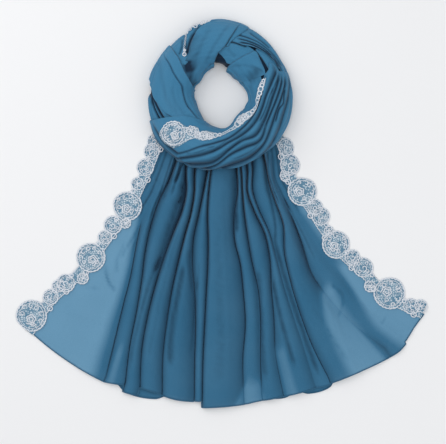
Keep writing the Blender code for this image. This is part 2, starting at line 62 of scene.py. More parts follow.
# Ring's centre, and the levels of the cloth walls on it
RING_X = -3.55
RING_Y = 180.3
WALL = 1.6
TAIL_WALL = 1.2
SPACE = 0.8
FIRST = SPACE
SECOND = FIRST + WALL + SPACE
THIRD = SECOND + WALL + SPACE

# Rounded form of the ring: half its section's height, the cloth over its core,
# where its walls end inside and outside, and where the tail comes out under it
LAYERS = 5.0
AXIS_HEIGHT = 13.0
AXIS_RISE = 6.0
HALF_HEIGHT = 22.0
INNER_FOOT = -25.0
OUTER_FOOT = 205.0
TAIL_FOOT = 188.0
TAIL_FROM = 216.0
TAIL_TO = 322.0
TAIL_BLEND = 12.0

# Hidden layers of the ring: steps round and over it, and their folds
LAYER_STEPS = 240
LAYER_ROLLS = 61
LAYER_FOOT = -28.0
LAYER_RIM = 208.0
LAYER_RIM_TAIL = 178.0
LAYER_DROP = 0.4
LAYER_FOLD = 1.4
LAYER_FOLD_SPACING = 8.5

# Front strand: grid, size for its folded edges, drop at its outer corner and in its gaps
STRAND_ROWS = 200
STRAND_COLUMNS = 130
STRAND_WIDTH = 110.0
STRAND_LENGTH = 190.0
CORNER_DROP = 2.4
GAP_DROP = 0.8

# Tail: where it starts, how flat it lies under the lace, and the painted shade inside its folds and
# slits
NECK_RADIUS = 95.0
MIDDLE_SHARE = 0.4
EDGE_FLAT = 20.0
EDGE_FULL = 36.0
SHADE_FOLD_DEPTH = 8.0
SLIT_SHADE_WIDTH = 1.5
TAIL_STEPS = 120
LEAST_TAIL = 0.6
UNDER_LEVEL = 0.9
UNDER_ROWS = 60
UNDER_COLUMNS = 200

# Shared shapes of the cloth
CREASE_FADE = 0.12
SIDE_FOLD = 1.1
EDGE_TURN = 3.0
# Half width of the painted shade in the gaps between the front strand's pleats
PLEAT_SHADE_WIDTH = 1.9
PLEAT_RISE = 6.0
RING_RIPPLE = 0.25
TAIL_RIPPLE = 0.3
UNDER_RIPPLE = 0.2
CORD_TAPER = 0.45

# Depth of colour, from 0 on a single layer to 1 inside a fold, where it is painted shade.
# The hem is darker than double cloth, for its rolled layers and painted shade.
MID_DEPTH = 0.3
HEM_LAYERS_AND_SHADE = 0.6

# Lace: its edge, the links and sizes of its motifs, its rim cords and their levels.
# It drops to the table between the two offsets of LACE_DROP.
LACE_WAIST = 8.0
LACE_FROM = 112.0
LACE_LEFT_END = 457.0
LACE_RIGHT_END = 449.0
LACE_STEPS = 260
LACE_COLUMNS = 20
LACE_DROP = (2.5, 10.0)
LINK_OFFSETS = (-7.0, 6.0)
LINK_RADII = (4.6, 3.8)
LARGE_MOTIF = 18.0
MIDDLE_MOTIF = 10.5
SMALL_MOTIF = 5.5
SCALLOP = 6.4
RIM_STEPS = 480
RIM_SCALLOP = 4.6
RIM_INSET = 1.4
GROUND_LEVEL = 0.5
CORD_LEVEL = 0.9
RIM_LEVEL = 0.8
CORD_RISE = 0.8

# Colours, and how much of the cloth's ground shows through. The deep fold colour is painted shade,
# and the thread's two colours are its painted glint and painted shade.
CLOTH_MID = "#2D6F93"
TAIL_MID = "#27678B"
CLOTH_PAINTED_SHADE = "#05233A"
CLOTH_LIGHT = "#6FA1C0"
THREAD_PAINTED_GLINT = "#F4F6FA"
THREAD_PAINTED_SHADE = "#B4BECA"
FILL_SILVER = "#BAC9D3"
FILL_GAP = "#447692"
PAPER = "#EEEEEE"
STUDIO = "#F4F6FA"
CLOTH_ALPHA = 0.8
RING_ALPHA = 1.0

# Pattern sizes: crepe pebbles, weave, stitches, their painted glints and the lace's leaves.
# A wave texture at scale 1 has 20 / (2 pi) bands a metre.
GRAIN = 1.1 * MM
WEAVE = 1.3 * MM
STITCH = 1.0 * MM
PAINTED_GLINT_SIZE = 1.6 * MM
LEAF = 3.2 * MM
BANDS_PER_SCALE = 2 * math.pi / 20

# Picture frame: one pixel of the photograph is 1.5 mm on the table
PICTURE_WIDTH = 446
PIXEL = 1.5 * MM
CAMERA_X = 2.25 * MM
CAMERA_Y = -12.0 * MM
LENS = 150.0
SENSOR = 36.0

# Table and lights
TABLE_SIZE = 12.0
TABLE_LEVEL = -0.2 * MM
STUDIO_STRENGTH = 0.58
LIGHTS = (
    # name, place, width, watts
    ("softbox", (-1.1, 1.0, 1.3), 1.5, 13.0),
    ("overhead", (-0.1, 0.1, 3.3), 1.8, 26.0),
    ("fill", (1.4, -0.8, 1.6), 1.8, 8.0),
)

# Ring's plan: a row for each 15 degrees
RING = (
    # angle, hole radius, outer radius
    (0, 39.8, 108.0), (15, 34.8, 106.5), (30, 32.3, 105.0), (45, 31.5, 106.0),
    (60, 32.3, 108.0), (75, 34.0, 109.5), (90, 39.0, 110.0), (105, 41.3, 108.5),
    (120, 37.5, 104.5), (135, 34.0, 103.0), (150, 32.7, 103.5), (165, 36.0, 105.8),
    (180, 39.0, 107.7), (195, 36.8, 110.5), (210, 37.2, 112.5), (225, 40.5, 112.8),
    (240, 45.8, 113.0), (255, 52.5, 111.8), (270, 53.5, 111.0), (285, 53.5, 110.5),
    (300, 46.5, 111.0), (315, 42.8, 112.0), (330, 41.3, 111.0), (345, 42.0, 110.0),
)

# Tail's fold lines: the angle of each valley at these distances from the centre
STATIONS = (96, 120, 150, 180, 218, 255, 300, 345, 398, 455)
LINES = (
    # name, angle at each station
    ("left_edge", (212, 219.5, 225.6, 229.0, 231.8, 232.0, 232.3, 232.0, 230.8, 231.4)),
    ("corner", (222, 227, 231.8, 234.8, 238.0, 241.0, 243.9, 245.5, 247.0, 248.2)),
    ("second", (234, 237.5, 239.8, 240.4, 242.3, 244.5, 247.3, 249.1, 250.4, 252.0)),
    ("knot", (243, 246, 251.0, 252.5, 251.8, 251.4, 251.6, 252.1, 253.1, 254.9)),
    ("narrow", (250.5, 252.5, 255.8, 256.8, 256.5, 256.4, 256.5, 257.0, 257.8, 259.2)),
    ("wedge", (261.8, 261.5, 261.0, 260.5, 260.0, 261.0, 263.0, 264.1, 264.7, 265.3)),
    ("ridge", (264.0, 263.8, 263.9, 264.5, 265.7, 266.2, 266.3, 266.4, 266.5, 266.8)),
    ("panel", (284.5, 282.8, 280.6, 277.3, 276.0, 277.0, 276.9, 276.5, 275.1, 274.6)),
    ("band", (288.0, 286.0, 283.5, 282.0, 281.2, 281.0, 281.2, 280.3, 278.9, 278.0)),
    ("fork", (293.0, 290.5, 286.2, 286.5, 288.0, 287.2, 285.1, 283.7, 282.2, 282.0)),
    ("twin", (298.0, 294.5, 289.3, 288.8, 289.8, 289.4, 288.7, 288.5, 288.5, 288.3)),
    ("right", (309.0, 304.5, 299.5, 297.5, 296.0, 292.4, 290.8, 290.2, 290.2, 291.0)),
    ("short", (316.0, 311.5, 303.3, 301.8, 300.4, 299.0, 297.4, 298.3, 300.3, 303.3)),
    ("soft", (320.0, 315.5, 306.3, 304.6, 303.6, 303.0, 303.8, 304.4, 304.8, 306.8)),
    ("right_edge", (326.0, 321.5, 313.3, 309.5, 308.8, 307.9, 307.7, 309.0, 310.0, 313.2)),
)

# Tail's folds, each between a line and the next one
FOLDS = (
    # crest's share of the width, height at neck, middle and hem,
    # softness of the far side, hem distance at left, middle and right, columns
    (0.75, 4.0, 2.5, 1.0, 1.0, 455, 460, 465, 30),
    (0.50, 9.0, 6.0, 3.5, 0.8, 465, 462, 459, 20),
    (0.35, 11.0, 8.0, 4.5, 0.9, 469, 469, 468, 24),
    (0.30, 10.0, 8.0, 5.0, 0.8, 456, 457, 459, 24),
    (0.25, 9.0, 7.0, 4.0, 1.0, 460, 463, 463, 28),
    (0.50, 8.0, 7.0, 4.0, 0.8, 462, 462, 461, 12),
    (0.12, 9.0, 7.0, 5.0, 0.5, 471, 469, 467, 48),
    (0.30, 8.0, 6.0, 3.0, 0.8, 467, 465, 464, 20),
    (0.25, 9.0, 7.0, 3.5, 0.8, 464, 464, 463, 20),
    (0.50, 8.0, 5.0, 4.0, 0.8, 464, 464, 464, 20),
    (0.50, 9.0, 3.0, 1.5, 0.8, 464, 466, 467, 16),
    (0.20, 10.0, 8.0, 4.0, 0.8, 465, 467, 471, 36),
    (0.40, 9.0, 4.0, 2.0, 0.9, 471, 471, 468, 28),
    (0.50, 6.0, 3.0, 1.0, 1.0, 465, 456, 451, 24),
)

# Smaller creases of the tail; their valleys are painted darker too, as painted shade
TAIL_CREASES = (
    # depth, half width, the line as angle and distance
    (2.6, 1.8, ((223, 112), (225.5, 123), (229.5, 145), (231.5, 169), (233, 185))),
    (3.0, 2.0, ((224.5, 104), (228.7, 122), (232.5, 147), (235.4, 180), (236.1, 209), (239, 234))),
    (3.0, 2.0, ((231, 104), (233.7, 119), (236.8, 143), (239.2, 168), (240.1, 192), (241.7, 221))),
    (2.6, 1.8, ((233.5, 108), (236.4, 119), (238.8, 136), (241, 158), (242.5, 185))),
    (2.4, 1.8, ((238.5, 108), (240.8, 119), (243, 134), (244, 150), (245, 170))),
    (3.5, 3.0, ((242.5, 112), (243, 126), (243.5, 150))),
    (3.5, 5.0, ((248, 142), (249.5, 155), (251.5, 176))),
    (-1.6, 2.5, ((246, 118), (247.5, 135))),
    (3.0, 7.0, ((249.5, 160), (249.8, 200), (250.3, 245), (250.8, 290))),
    (1.8, 4.0, ((250.5, 250), (250, 300), (250.8, 380), (252, 440))),
    (1.2, 3.0, ((238.8, 228), (239.2, 248), (238.9, 270), (239.5, 288))),
    (1.8, 2.8, ((234, 262), (235.2, 292), (237, 314), (240.5, 330), (243, 335))),
    (-0.9, 2.5, ((235.5, 262), (236.6, 288), (238.3, 308), (240.5, 320))),
    (1.0, 3.0, ((237.2, 262), (238, 285), (239.2, 300), (240.6, 312))),
    (0.8, 3.0, ((231.5, 372), (233.5, 362), (236, 350), (239, 342))),
    (3.0, 4.5, ((259.4, 236), (260.5, 255), (262, 278), (263, 300))),
    (2.8, 6.0, ((258.3, 255), (258.4, 290), (258.4, 330), (258.8, 375), (260, 420))),
    (1.6, 1.6, ((263, 248), (263.4, 278), (263.7, 330), (264, 400))),
    (1.2, 11.0, ((269, 160), (270, 300), (270.5, 380), (270, 450))),
    (-0.8, 9.0, ((267.5, 130), (267.5, 300), (268, 420))),
    (3.2, 5.0, ((281, 120), (279.5, 150), (278, 180), (277, 214))),
    (2.4, 6.5, ((282.5, 262), (280.8, 320), (279.6, 380), (279, 440))),
    (2.8, 3.6, ((286.2, 280), (285.6, 310), (285.3, 350), (285.4, 400), (285.6, 430))),
    (3.0, 4.2, ((290.6, 225), (289.6, 300), (289.4, 380), (289.5, 455))),
    (2.8, 2.4, ((306, 115), (301, 135), (298.5, 150), (297, 162), (295.8, 180), (294.5, 198),
                (292.8, 218), (291, 233), (290, 245))),
    (2.8, 2.0, ((318, 104), (311.5, 120), (304, 148), (302, 180), (301, 210))),
    (2.8, 2.0, ((321, 106), (315.5, 120), (307, 150), (305, 185), (304, 222), (303.4, 250))),
    (2.4, 1.8, ((312, 106), (307.5, 120), (302, 140), (299.5, 165), (298.6, 190))),
    (1.0, 1.6, ((305, 423), (306.3, 420), (307.5, 417))),
    (1.6, 2.5, ((302, 180), (301, 240), (300, 290))),
    (0.9, 3.5, ((254, 200), (254.2, 300), (255.2, 420))),
    (0.8, 5.0, ((293.5, 300), (294.5, 380), (296, 450))),
    (1.2, 3.0, ((300.2, 330), (301.6, 352), (299.6, 372), (297.5, 380))),
    (0.9, 4.0, ((273.5, 130), (273, 200), (273.2, 330), (272.8, 440))),
)

# Patches where one layer alone lies on the table, each between two lines of
# distance and angle
SINGLE_PATCHES = (
    # strength, softness in degrees, from and to distance, left line, right line
    (1.0, 1.6, (215, 470), ((218, 228), (470, 228)), ((218, 236.5), (255, 239.5), (300, 242.4),
                                                   (345, 244), (398, 245), (455, 246))),
    (0.9, 1.2, (312, 470), ((312, 304.6), (345, 304.3), (380, 303.9), (420, 304), (470, 306)),
     ((312, 316), (470, 316))),
    (0.8, 1.2, (330, 470), ((330, 297), (375, 295), (420, 294.8), (470, 295)),
     ((330, 300.5), (375, 300.3), (420, 301.4), (470, 302.5))),
    (0.5, 0.7, (390, 462), ((390, 282.2), (462, 282.3)), ((390, 284.2), (462, 284.6))),
    (0.55, 0.6, (432, 470), ((432, 275.4), (470, 272.5)), ((432, 278.2), (470, 278.6))),
    (0.45, 0.6, (405, 470), ((405, 248.2), (470, 248.6)), ((405, 249.4), (470, 250.0))),
    (0.8, 1.4, (205, 330), ((205, 305), (330, 305.6)), ((205, 316), (330, 316))),
)

# Under tail: a row for each distance, then its hem
UNDER_SIDES = (
    # distance, left angle, right angle
    (96, 231.0, 310.0), (150, 238.5, 299.0), (218, 242.0, 296.0),
    (300, 243.5, 296.0), (398, 244.0, 296.0), (455, 244.0, 295.5),
)
UNDER_HEM = (
    # angle, distance
    (243.5, 455), (249.0, 456), (252.5, 469), (258.0, 467), (260.5, 457), (266.5, 457),
    (275.0, 456), (279.5, 463), (282.5, 466), (285.0, 461), (287.0, 469), (291.0, 470),
    (293.0, 458), (296.0, 458),
)

# Front strand's inner border, beginning and end
FRONT_BORDER = (
    # angle, distance
    (312, 44.5), (318, 46.5), (325, 50.2), (332, 54.0), (338, 57.0), (345, 55.5), (352, 54.7),
    (360, 56.2), (368, 57.8), (372, 61.5), (376, 67.5), (380, 71.2), (384, 75.0),
)
FRONT_START = (
    # share of the width, angle
    (0.0, 252.0), (0.10, 251.0), (0.16, 249.0), (0.25, 240.0), (0.32, 231.0), (0.39, 221.0),
    (0.47, 212.5), (0.55, 207.0), (0.68, 203.5), (0.86, 202.0), (1.0, 201.0),
)
FRONT_END = (
    # share of the width, angle
    (0.0, 381.0), (0.1, 385.5), (0.2, 390.5), (0.26, 388.0), (0.34, 382.0), (0.5, 378.5),
    (0.7, 377.0), (1.0, 376.0),
)

# Front strand's pleats: the distance of each valley at these angles
PLEAT_ANGLES = (236, 250, 265, 280, 295, 310, 325, 340, 355, 370, 382)
PLEATS = (
    # name, distance at each angle
    ("first", (110, 87, 76, 70, 65, 62.5, 61, 60.5, 62, 66, 74)),
    ("second", (116, 101, 88, 77, 73.2, 71.3, 69.7, 68.5, 70, 79, 92)),
    ("third", (120, 112, 103.5, 87, 80, 84, 80, 78, 80, 88, 97)),
    ("fourth", (124, 117, 109, 94, 90.5, 93.5, 84.5, 82.5, 86, 93, 98.5)),
    ("fifth", (128, 122, 114, 108, 106, 101, 93, 89, 92, 98.5, 102)),
    ("last", (132, 127, 119, 115, 113, 110.5, 105, 101, 102, 105, 106)),
)
FRONT_CREASES = (
    # depth, half width, the line as angle and distance
    (1.6, 1.3, ((320, 75), (330, 73.5), (345, 73.5), (355, 75), (362, 79), (368, 84), (375, 90),
                (380, 94.5))),
    (2.2, 1.5, ((330, 93.8), (343, 91.5), (350, 95.5), (357, 95.3), (365, 97.5))),
    (1.3, 1.2, ((258, 96), (268, 84), (278, 73), (290, 69), (303, 67))),
    (1.2, 1.2, ((262, 100), (272, 92), (284, 84), (296, 77), (306, 76))),
    (1.2, 1.2, ((240, 104), (250, 95), (258, 86), (268, 79))),
    (1.0, 1.5, ((280, 102), (292, 99), (304, 97), (314, 93))),
)

# Bands and small folds of the ring: where each starts and ends at a distance
BAND_TOP = (
    # distance, right angle, left angle
    (20, 104, 176), (30, 103, 176), (40, 101, 174), (46, 99, 168), (52, 95, 163),
    (58, 91, 158), (66, 84, 146), (72, 81, 129), (79, 79, 123), (86, 77, 118),
    (93, 75.5, 113.5), (100, 74, 107), (106, 72.5, 98), (112, 71.5, 94), (124, 71, 92),
)
BAND_LEFT = (
    # distance, top angle, lower angle
    (20, 172, 252), (40, 171, 252), (45, 162, 250), (52, 154, 242), (60, 149, 233),
    (66, 145, 226), (72, 142, 219), (78, 139.5, 209), (84, 138.5, 203), (90, 137.5, 194),
    (97, 136.5, 185), (103, 135.5, 172), (108, 135, 166), (124, 134.5, 164),
)
FLAP_TOP = (
    (66, 79.5, 85), (76, 76.5, 82), (86, 72, 80), (95, 68, 78), (103, 65.5, 76), (124, 63.5, 75),
)
UPPER_RIGHT = (
    (76, 66, 77), (78, 62, 78), (84, 51, 78), (88, 43, 78), (91, 36, 77), (94, 25, 77),
    (97, 16, 76), (100, 11, 76), (105, 10, 75), (124, 10, 74),
)
SLOT_SIDE = ((80, 24, 30), (82, 22, 46), (85, 21, 50), (88, 20, 48), (92, 18, 42), (97, 16, 34))
INNER_HIGH = (
    (42, 63, 74), (48, 58, 79), (54, 53, 86), (60, 50, 92), (68, 48, 90), (75, 48, 86),
    (82, 50, 79),
)
INNER_MAIN = (
    (20, 25, 74), (34, 25, 73), (40, 24, 71.5), (46, 23, 67.5), (54, 22, 62), (62, 21, 57.3),
    (70, 21, 53.8), (74, 22, 52), (77, 36, 50.8), (80, 43, 49.7), (83, 47.5, 48.6),
)
INNER_LOW = ((20, 305, 389), (34, 305, 389), (46, 314, 389), (56, 322, 389), (66, 326, 383))
BACK_TOP = (
    (62, 134, 147), (68, 126, 147), (74, 121, 146), (80, 116, 144), (88, 112, 142),
    (96, 106, 141), (103, 99, 140), (110, 92, 139), (124, 90, 139),
)
LOWER_LEFT = (
    (78, 200, 216), (86, 190, 216), (94, 181, 212), (100, 174, 210), (106, 167, 209),
    (124, 165, 208),
)

# Creases of the bands: depth, half width, the line as angle and distance. Their valleys are painted
# darker too, as painted shade.
PRESSED_EDGE = ((144, 102), (147, 94.5), (150, 85.5), (153, 79.5), (157, 73.5), (161, 67.5),
                (165, 62.3), (170, 57), (175, 54.8), (180, 53.7), (187, 52.5), (195, 52), (205, 51),
                (215, 49.5), (230, 50.3), (240, 51))
PRESSED_RIDGE = tuple((angle, distance + 3.0) for angle, distance in PRESSED_EDGE)
BAND_LEFT_CREASES = (
    (2.2, 1.2, PRESSED_EDGE),
    (-0.9, 1.8, PRESSED_RIDGE),
    (0.6, 4.0, ((150, 100), (165, 88), (180, 80), (195, 74), (210, 69))),
    (0.5, 3.0, ((170, 72), (190, 66), (210, 62), (230, 60))),
)
BAND_TOP_CREASES = (
    (2.2, 8.0, ((134, 68), (146, 54), (158, 44), (170, 37))),
    (1.3, 13.0, ((112, 100), (122, 82), (134, 64), (148, 50))),
    (0.8, 3.0, ((80, 104), (86, 88), (94, 72), (106, 56), (120, 46))),
    (0.7, 4.0, ((96, 100), (104, 84), (116, 68), (132, 54), (150, 46))),
    (0.5, 3.0, ((88, 62), (98, 52), (112, 44))),
)
UPPER_CREASES = (
    (3.2, 1.4, ((20, 95.5), (28, 94.8), (35, 93), (45, 89), (55, 85), (63, 81.5), (70, 79))),
    (3.0, 1.3, ((14, 98), (22, 98), (28, 97.2), (34, 96), (40, 94), (48, 91.3), (57, 88),
                (66, 85.5), (74, 83.5))),
    (2.6, 1.3, ((20, 100.5), (30, 99.8), (40, 97.5), (50, 95), (60, 92.5), (70, 90.5), (78, 88.5))),
    (2.2, 1.4, ((40, 101.5), (48, 100), (56, 99.5), (64, 100.5))),
)
FLAP_CREASES = (
    (2.8, 2.6, ((84.5, 67), (81.5, 76), (79, 86), (77, 95), (75.5, 103), (74.5, 110))),
)
BACK_CREASES = (
    (-3.0, 6.0, ((95, 111), (100, 110.5), (106, 109.5), (112, 108), (117, 104))),
    (3.2, 2.8, ((133, 70), (127, 78), (121, 86), (116, 93), (110, 100), (102, 106.5), (96, 112))),
    (2.0, 1.8, ((119, 105), (121, 99), (123, 93), (126, 85.5), (129, 79.5))),
    (2.0, 1.8, ((124, 99), (128, 90), (133, 84), (138, 81))),
)
HIGH_CREASES = (
    (2.6, 2.2, ((79, 77), (72, 77.5), (65, 78.3), (58, 80))),
    (0.8, 3.0, ((80, 66), (72, 60), (64, 57))),
)
LOWER_CREASES = (
    (4.2, 1.8, ((172, 106), (182, 101.5), (190, 97), (198, 93.5), (210, 90))),
    (4.2, 1.5, ((174, 107), (182, 104.5), (190, 101.5), (198, 99), (209, 96.5))),
)
INNER_CREASES = (
    (1.7, 9.0, ((22, 44), (25, 56), (32, 70))),
    (0.6, 3.0, ((330, 52), (345, 49), (360, 47), (375, 45))),
    (0.7, 2.5, ((34, 62), (44, 56), (55, 48), (66, 42))),
)

BANDS = (
    # node, table, distance it runs from and to or None for a foot, rows, columns,
    # (lift at the start, lift at the end, share where it changes from and to),
    # creases, (mean length, width), folded edges at start, end, inside and outside
    ("band_top", BAND_TOP, None, None, 100, 120, (THIRD, SECOND, 0.12, 0.4),
     BAND_TOP_CREASES, (60.0, 110.0), (1, 1, 0, 0)),
    ("band_left", BAND_LEFT, None, None, 130, 110, (THIRD, SECOND, 0.12, 0.3),
     BAND_LEFT_CREASES, (110.0, 110.0), (1, 1, 0, 0)),
    ("flap_top", FLAP_TOP, 68.0, None, 24, 60, (SECOND, SECOND, 0.0, 1.0),
     FLAP_CREASES, (12.0, 60.0), (1, 0, 1, 0)),
    ("folds_upper_right", UPPER_RIGHT, 77.0, None, 100, 70,
     (SECOND + 1.6, FIRST + 0.6, 0.1, 0.7), UPPER_CREASES, (90.0, 50.0), (0, 0, 1, 0)),
    ("fold_inner_high", INNER_HIGH, 43.0, 81.0, 50, 60, (FIRST, FIRST, 0.0, 1.0),
     HIGH_CREASES, (40.0, 40.0), (0, 0, 1, 0)),
    ("fold_inner_main", INNER_MAIN, None, 82.0, 70, 80, (FIRST + 0.4, SECOND, 0.0, 0.45),
     INNER_CREASES, (40.0, 60.0), (0, 1, 0, 1)),
    ("fold_inner_low", INNER_LOW, None, 66.0, 110, 60, (FIRST, FIRST, 0.0, 1.0),
     INNER_CREASES, (80.0, 50.0), (0, 0, 0, 0)),
    ("slot_side", SLOT_SIDE, 81.0, 96.0, 50, 30, (FIRST, FIRST, 0.0, 1.0),
     (), (40.0, 20.0), (0, 1, 1, 0)),
    ("back_top", BACK_TOP, 63.0, None, 60, 90, (FIRST, FIRST, 0.0, 1.0),
     BACK_CREASES, (50.0, 80.0), (0, 0, 1, 0)),
    ("pleats_lower_left", LOWER_LEFT, 79.0, None, 60, 70, (FIRST, FIRST, 0.0, 1.0),
     LOWER_CREASES, (60.0, 60.0), (0, 0, 1, 0)),
)
# A stretch beside the dark slot, which stands for no CAD node
HIDDEN_STRETCH = {"slot_side": ()}

# Lace border: a row for each embroidered motif along the edge
LACE_LEFT = (
    # distance from the centre, outward offset, radius
    (117, 5, 12), (131, 4, 12), (155, 4, 13), (181, 4, 10), (217, 4, 22), (239, -9, 8),
    (253, 4, 14), (275, 3, 11), (312, 2, 22), (343, -9, 9), (366, 3, 14), (377, 7, 10),
    (396, 3, 12), (435, 10, 23.5),
)
LACE_RIGHT = (
    # distance from the centre, outward offset, radius
    (126, 4, 12), (149, 4, 15), (161, -8, 8), (192, 5, 22), (222, 6, 12), (238, 6, 14),
    (263, 4, 8), (286, 1, 21), (317, 6, 12), (339, 5, 15), (366, -8, 9), (394, 5, 24),
    (431, 3, 12), (443, 9, 10),
)

# Lace on the front strand: its two edges
FRONT_LACE = (
    # angle, inner distance, outer distance
    (212, 83, 98), (214, 77, 107), (218, 73.5, 110), (223, 72, 110.5), (228, 69.7, 108.5),
    (232, 64.5, 105), (236, 61.5, 91), (240, 61.5, 81), (244, 65, 77.5), (249, 61.5, 77),
    (254, 60, 75), (260, 60, 71.5), (266, 61.5, 67.5), (272, 61.5, 64.8), (278, 59, 62.8),
    (285, 56.5, 60.5), (292, 54.7, 60), (298, 51, 59.5), (304, 46.8, 59.2), (311, 45.5, 58),
    (318, 47.5, 59.5), (326, 51.5, 60.6), (334, 55.5, 60.5), (341, 57.5, 60.5),
    (347, 55.6, 60.5), (354, 55.3, 61.5), (361, 56.8, 64), (367, 58.2, 67.5),
    (372, 62, 69.5), (377, 68.5, 72.5),
)
FRONT_MOTIFS = (
    # angle, distance, radius
    (222, 91, 18.2), (234.5, 71, 8), (243.5, 71, 5.8), (250.5, 69, 7.5), (258, 67, 6),
    (265, 64.5, 4), (271, 63.2, 3), (300, 54.5, 5), (307, 52.7, 6.5), (316, 53, 6.2),
    (323, 55, 4.8), (330, 57, 3.5), (352, 58.5, 3), (358, 60, 4), (364, 61.5, 4.4),
    (369, 64.5, 3.4), (374, 67.5, 3),
)

# Lace that shows between the top and left bands
BACK_LACE = (
    # angle and distance along the edge
    (97, 109), (103, 108.5), (109, 107.5), (114.5, 106), (118, 103), (120.5, 98), (123, 92.5),
    (127, 86), (131, 80), (135, 75),
)
BACK_MOTIFS = (
    # place along the line, radius
    (0.4, 3.2), (1.2, 2.6), (2.1, 3.6), (3.0, 2.6), (4.0, 1.8), (7.6, 2.4), (8.4, 3.4),
)


def curve(stations, values, at):
    """Smooth values at places between table rows, held beyond the ends."""
    x = np.array(stations, float)
    y = np.array(values, float)
    slopes = np.empty_like(y)
    slopes[1:-1] = (y[2:] - y[:-2]) / (x[2:] - x[:-2])
    slopes[0] = (y[1] - y[0]) / (x[1] - x[0])
    slopes[-1] = (y[-1] - y[-2]) / (x[-1] - x[-2])
    at = np.clip(at, x[0], x[-1])
    low = np.clip(np.searchsorted(x, at, side="right") - 1, 0, len(x) - 2)
    gap = x[low + 1] - x[low]
    share = (at - x[low]) / gap
    ease = share * share * (3 - 2 * share)
    start = share * (1 - share) ** 2 * slopes[low] * gap
    finish = share * share * (share - 1) * slopes[low + 1] * gap
    return y[low] + (y[low + 1] - y[low]) * ease + start + finish


def column(table, index):
    """One named column of a table."""
    return [row[index] for row in table]


def step(start, finish, at):
    """Smooth 0 to 1 between two places."""
    share = np.clip((at - start) / (finish - start), 0.0, 1.0)
    return share * share * (3 - 2 * share)


def mix(first, second, share):
    """Value at a share of the way between two."""
    return first + (second - first) * share


def plan(angle, distance):
    """Place in the plan, in millimetres from the ring's centre."""
    turn = np.radians(angle)
    return distance * np.cos(turn), distance * np.sin(turn)


def polar(angle, distance, height):
    """Points in metres from an angle and distance about the ring's centre."""
    x, y = plan(angle, distance)
    x, y, z = np.broadcast_arrays(x + RING_X, y + RING_Y, height)
    return np.stack((x, y, z), axis=-1) * MM


def straight_up(points):
    """An upward direction for each point."""
    up = np.zeros(points.shape)
    up[..., 2] = 1.0
    return up


# Creases and small unevenness, both given in the plan

def smooth_line(points, pieces=5):
    """A line through the points of a table row, in the plan."""
    places = np.linspace(0, len(points) - 1, (len(points) - 1) * pieces + 1)
    order = np.arange(len(points))
    angle = curve(order, column(points, 0), places)
    distance = curve(order, column(points, 1), places)
    return np.stack(plan(angle, distance), axis=-1)


def line_away(x, y, line):
    """Distance from a line, and the share of the line's length at its nearest place."""
    nearest = np.full(x.shape, 1e9)
    place = np.zeros(x.shape)
    lengths = np.hypot(*np.diff(line, axis=0).T)
    total = lengths.sum()
    before = 0.0
    for (ax, ay), (bx, by), length in zip(line[:-1], line[1:], lengths):
        along = ((x - ax) * (bx - ax) + (y - ay) * (by - ay)) / length ** 2
        along = np.clip(along, 0.0, 1.0)
        away = np.hypot(x - mix(ax, bx, along), y - mix(ay, by, along))
        closer = away < nearest
        nearest = np.where(closer, away, nearest)
        place = np.where(closer, (before + along * length) / total, place)
        before += length
    return nearest, place


def creases(angle, distance, rows):
    """Height of all creases in a table: valleys below 0 and ridges above."""
    x, y = plan(angle, distance)
    height = np.zeros(x.shape)
    for depth, width, points in rows:
        away, place = line_away(x, y, smooth_line(points))
        fade = step(0.0, CREASE_FADE, place) * (1 - step(1 - CREASE_FADE, 1.0, place))
        height -= depth * fade * np.exp(-(away / width) ** 2)
    return height


def ripples(across, along, size, run, seed):
    """Uneven small waves: size is their spacing across and run their length."""
    draw = np.random.RandomState(seed)
    height = np.zeros(np.broadcast(across, along).shape)
    for _ in range(9):
        wave = size * draw.uniform(0.6, 1.6)
        stretch = run * draw.uniform(0.6, 1.6)
        phase, bend = draw.uniform(0, 2 * math.pi, 2)
        sway = 0.9 * np.sin(2 * math.pi * along / (stretch * 1.7) + bend)
        height += np.sin(2 * math.pi * across / wave + sway + phase) * np.cos(
            2 * math.pi * along / stretch + bend
        )
    return height / 3.0


def side_folds(angle, roll, seed):
    """Long uneven folds on the ring's outer and inner walls, which the plan can't show."""
    sides = step(138, 160, roll) + 1 - step(15, 40, roll)
    across = roll * 0.6
    along = np.radians(angle) * 100.0
    return SIDE_FOLD * sides * ripples(across, along, 10.0, 130.0, seed)


# The ring's section: an ellipse, rolled from the hole's foot over the top

def over_tail(angle):
    """1 where the tail comes out from under the ring, 0 elsewhere."""
    turn = np.mod(angle, 360.0)
    rise = step(TAIL_FROM - TAIL_BLEND, TAIL_FROM, turn)
    return rise * (1 - step(TAIL_TO, TAIL_TO + TAIL_BLEND, turn))


def ring_section(angle):
    """Middle distance, half width and axis height of the ring at an angle."""
    turn = np.mod(angle, 360.0)
    angles = [-15, *column(RING, 0), 360, 375]
    holes = [RING[-1][1], *column(RING, 1), RING[0][1], RING[1][1]]
    rims = [RING[-1][2], *column(RING, 2), RING[0][2], RING[1][2]]
    hole = curve(angles, holes, turn)
    rim = curve(angles, rims, turn)
    return (hole + rim) / 2, (rim - hole) / 2 - LAYERS, AXIS_HEIGHT + AXIS_RISE * over_tail(angle)


def section_place(section, roll, lift):
    """Distance and height of a place on the section, lifted off the ring's core."""
    middle, half, axis = section
    across = np.cos(np.radians(roll))
    up = np.sin(np.radians(roll))
    away = np.hypot(across / half, up / HALF_HEIGHT)
    distance = middle - half * across - lift * across / half / away
    height = axis + HALF_HEIGHT * up + lift * up / HALF_HEIGHT / away
    return distance, np.maximum(height, 0.0)


def ring_point(angle, roll, lift):
    """Points in metres on the ring."""
    distance, height = section_place(ring_section(angle), roll, lift)
    return polar(angle, distance, height)


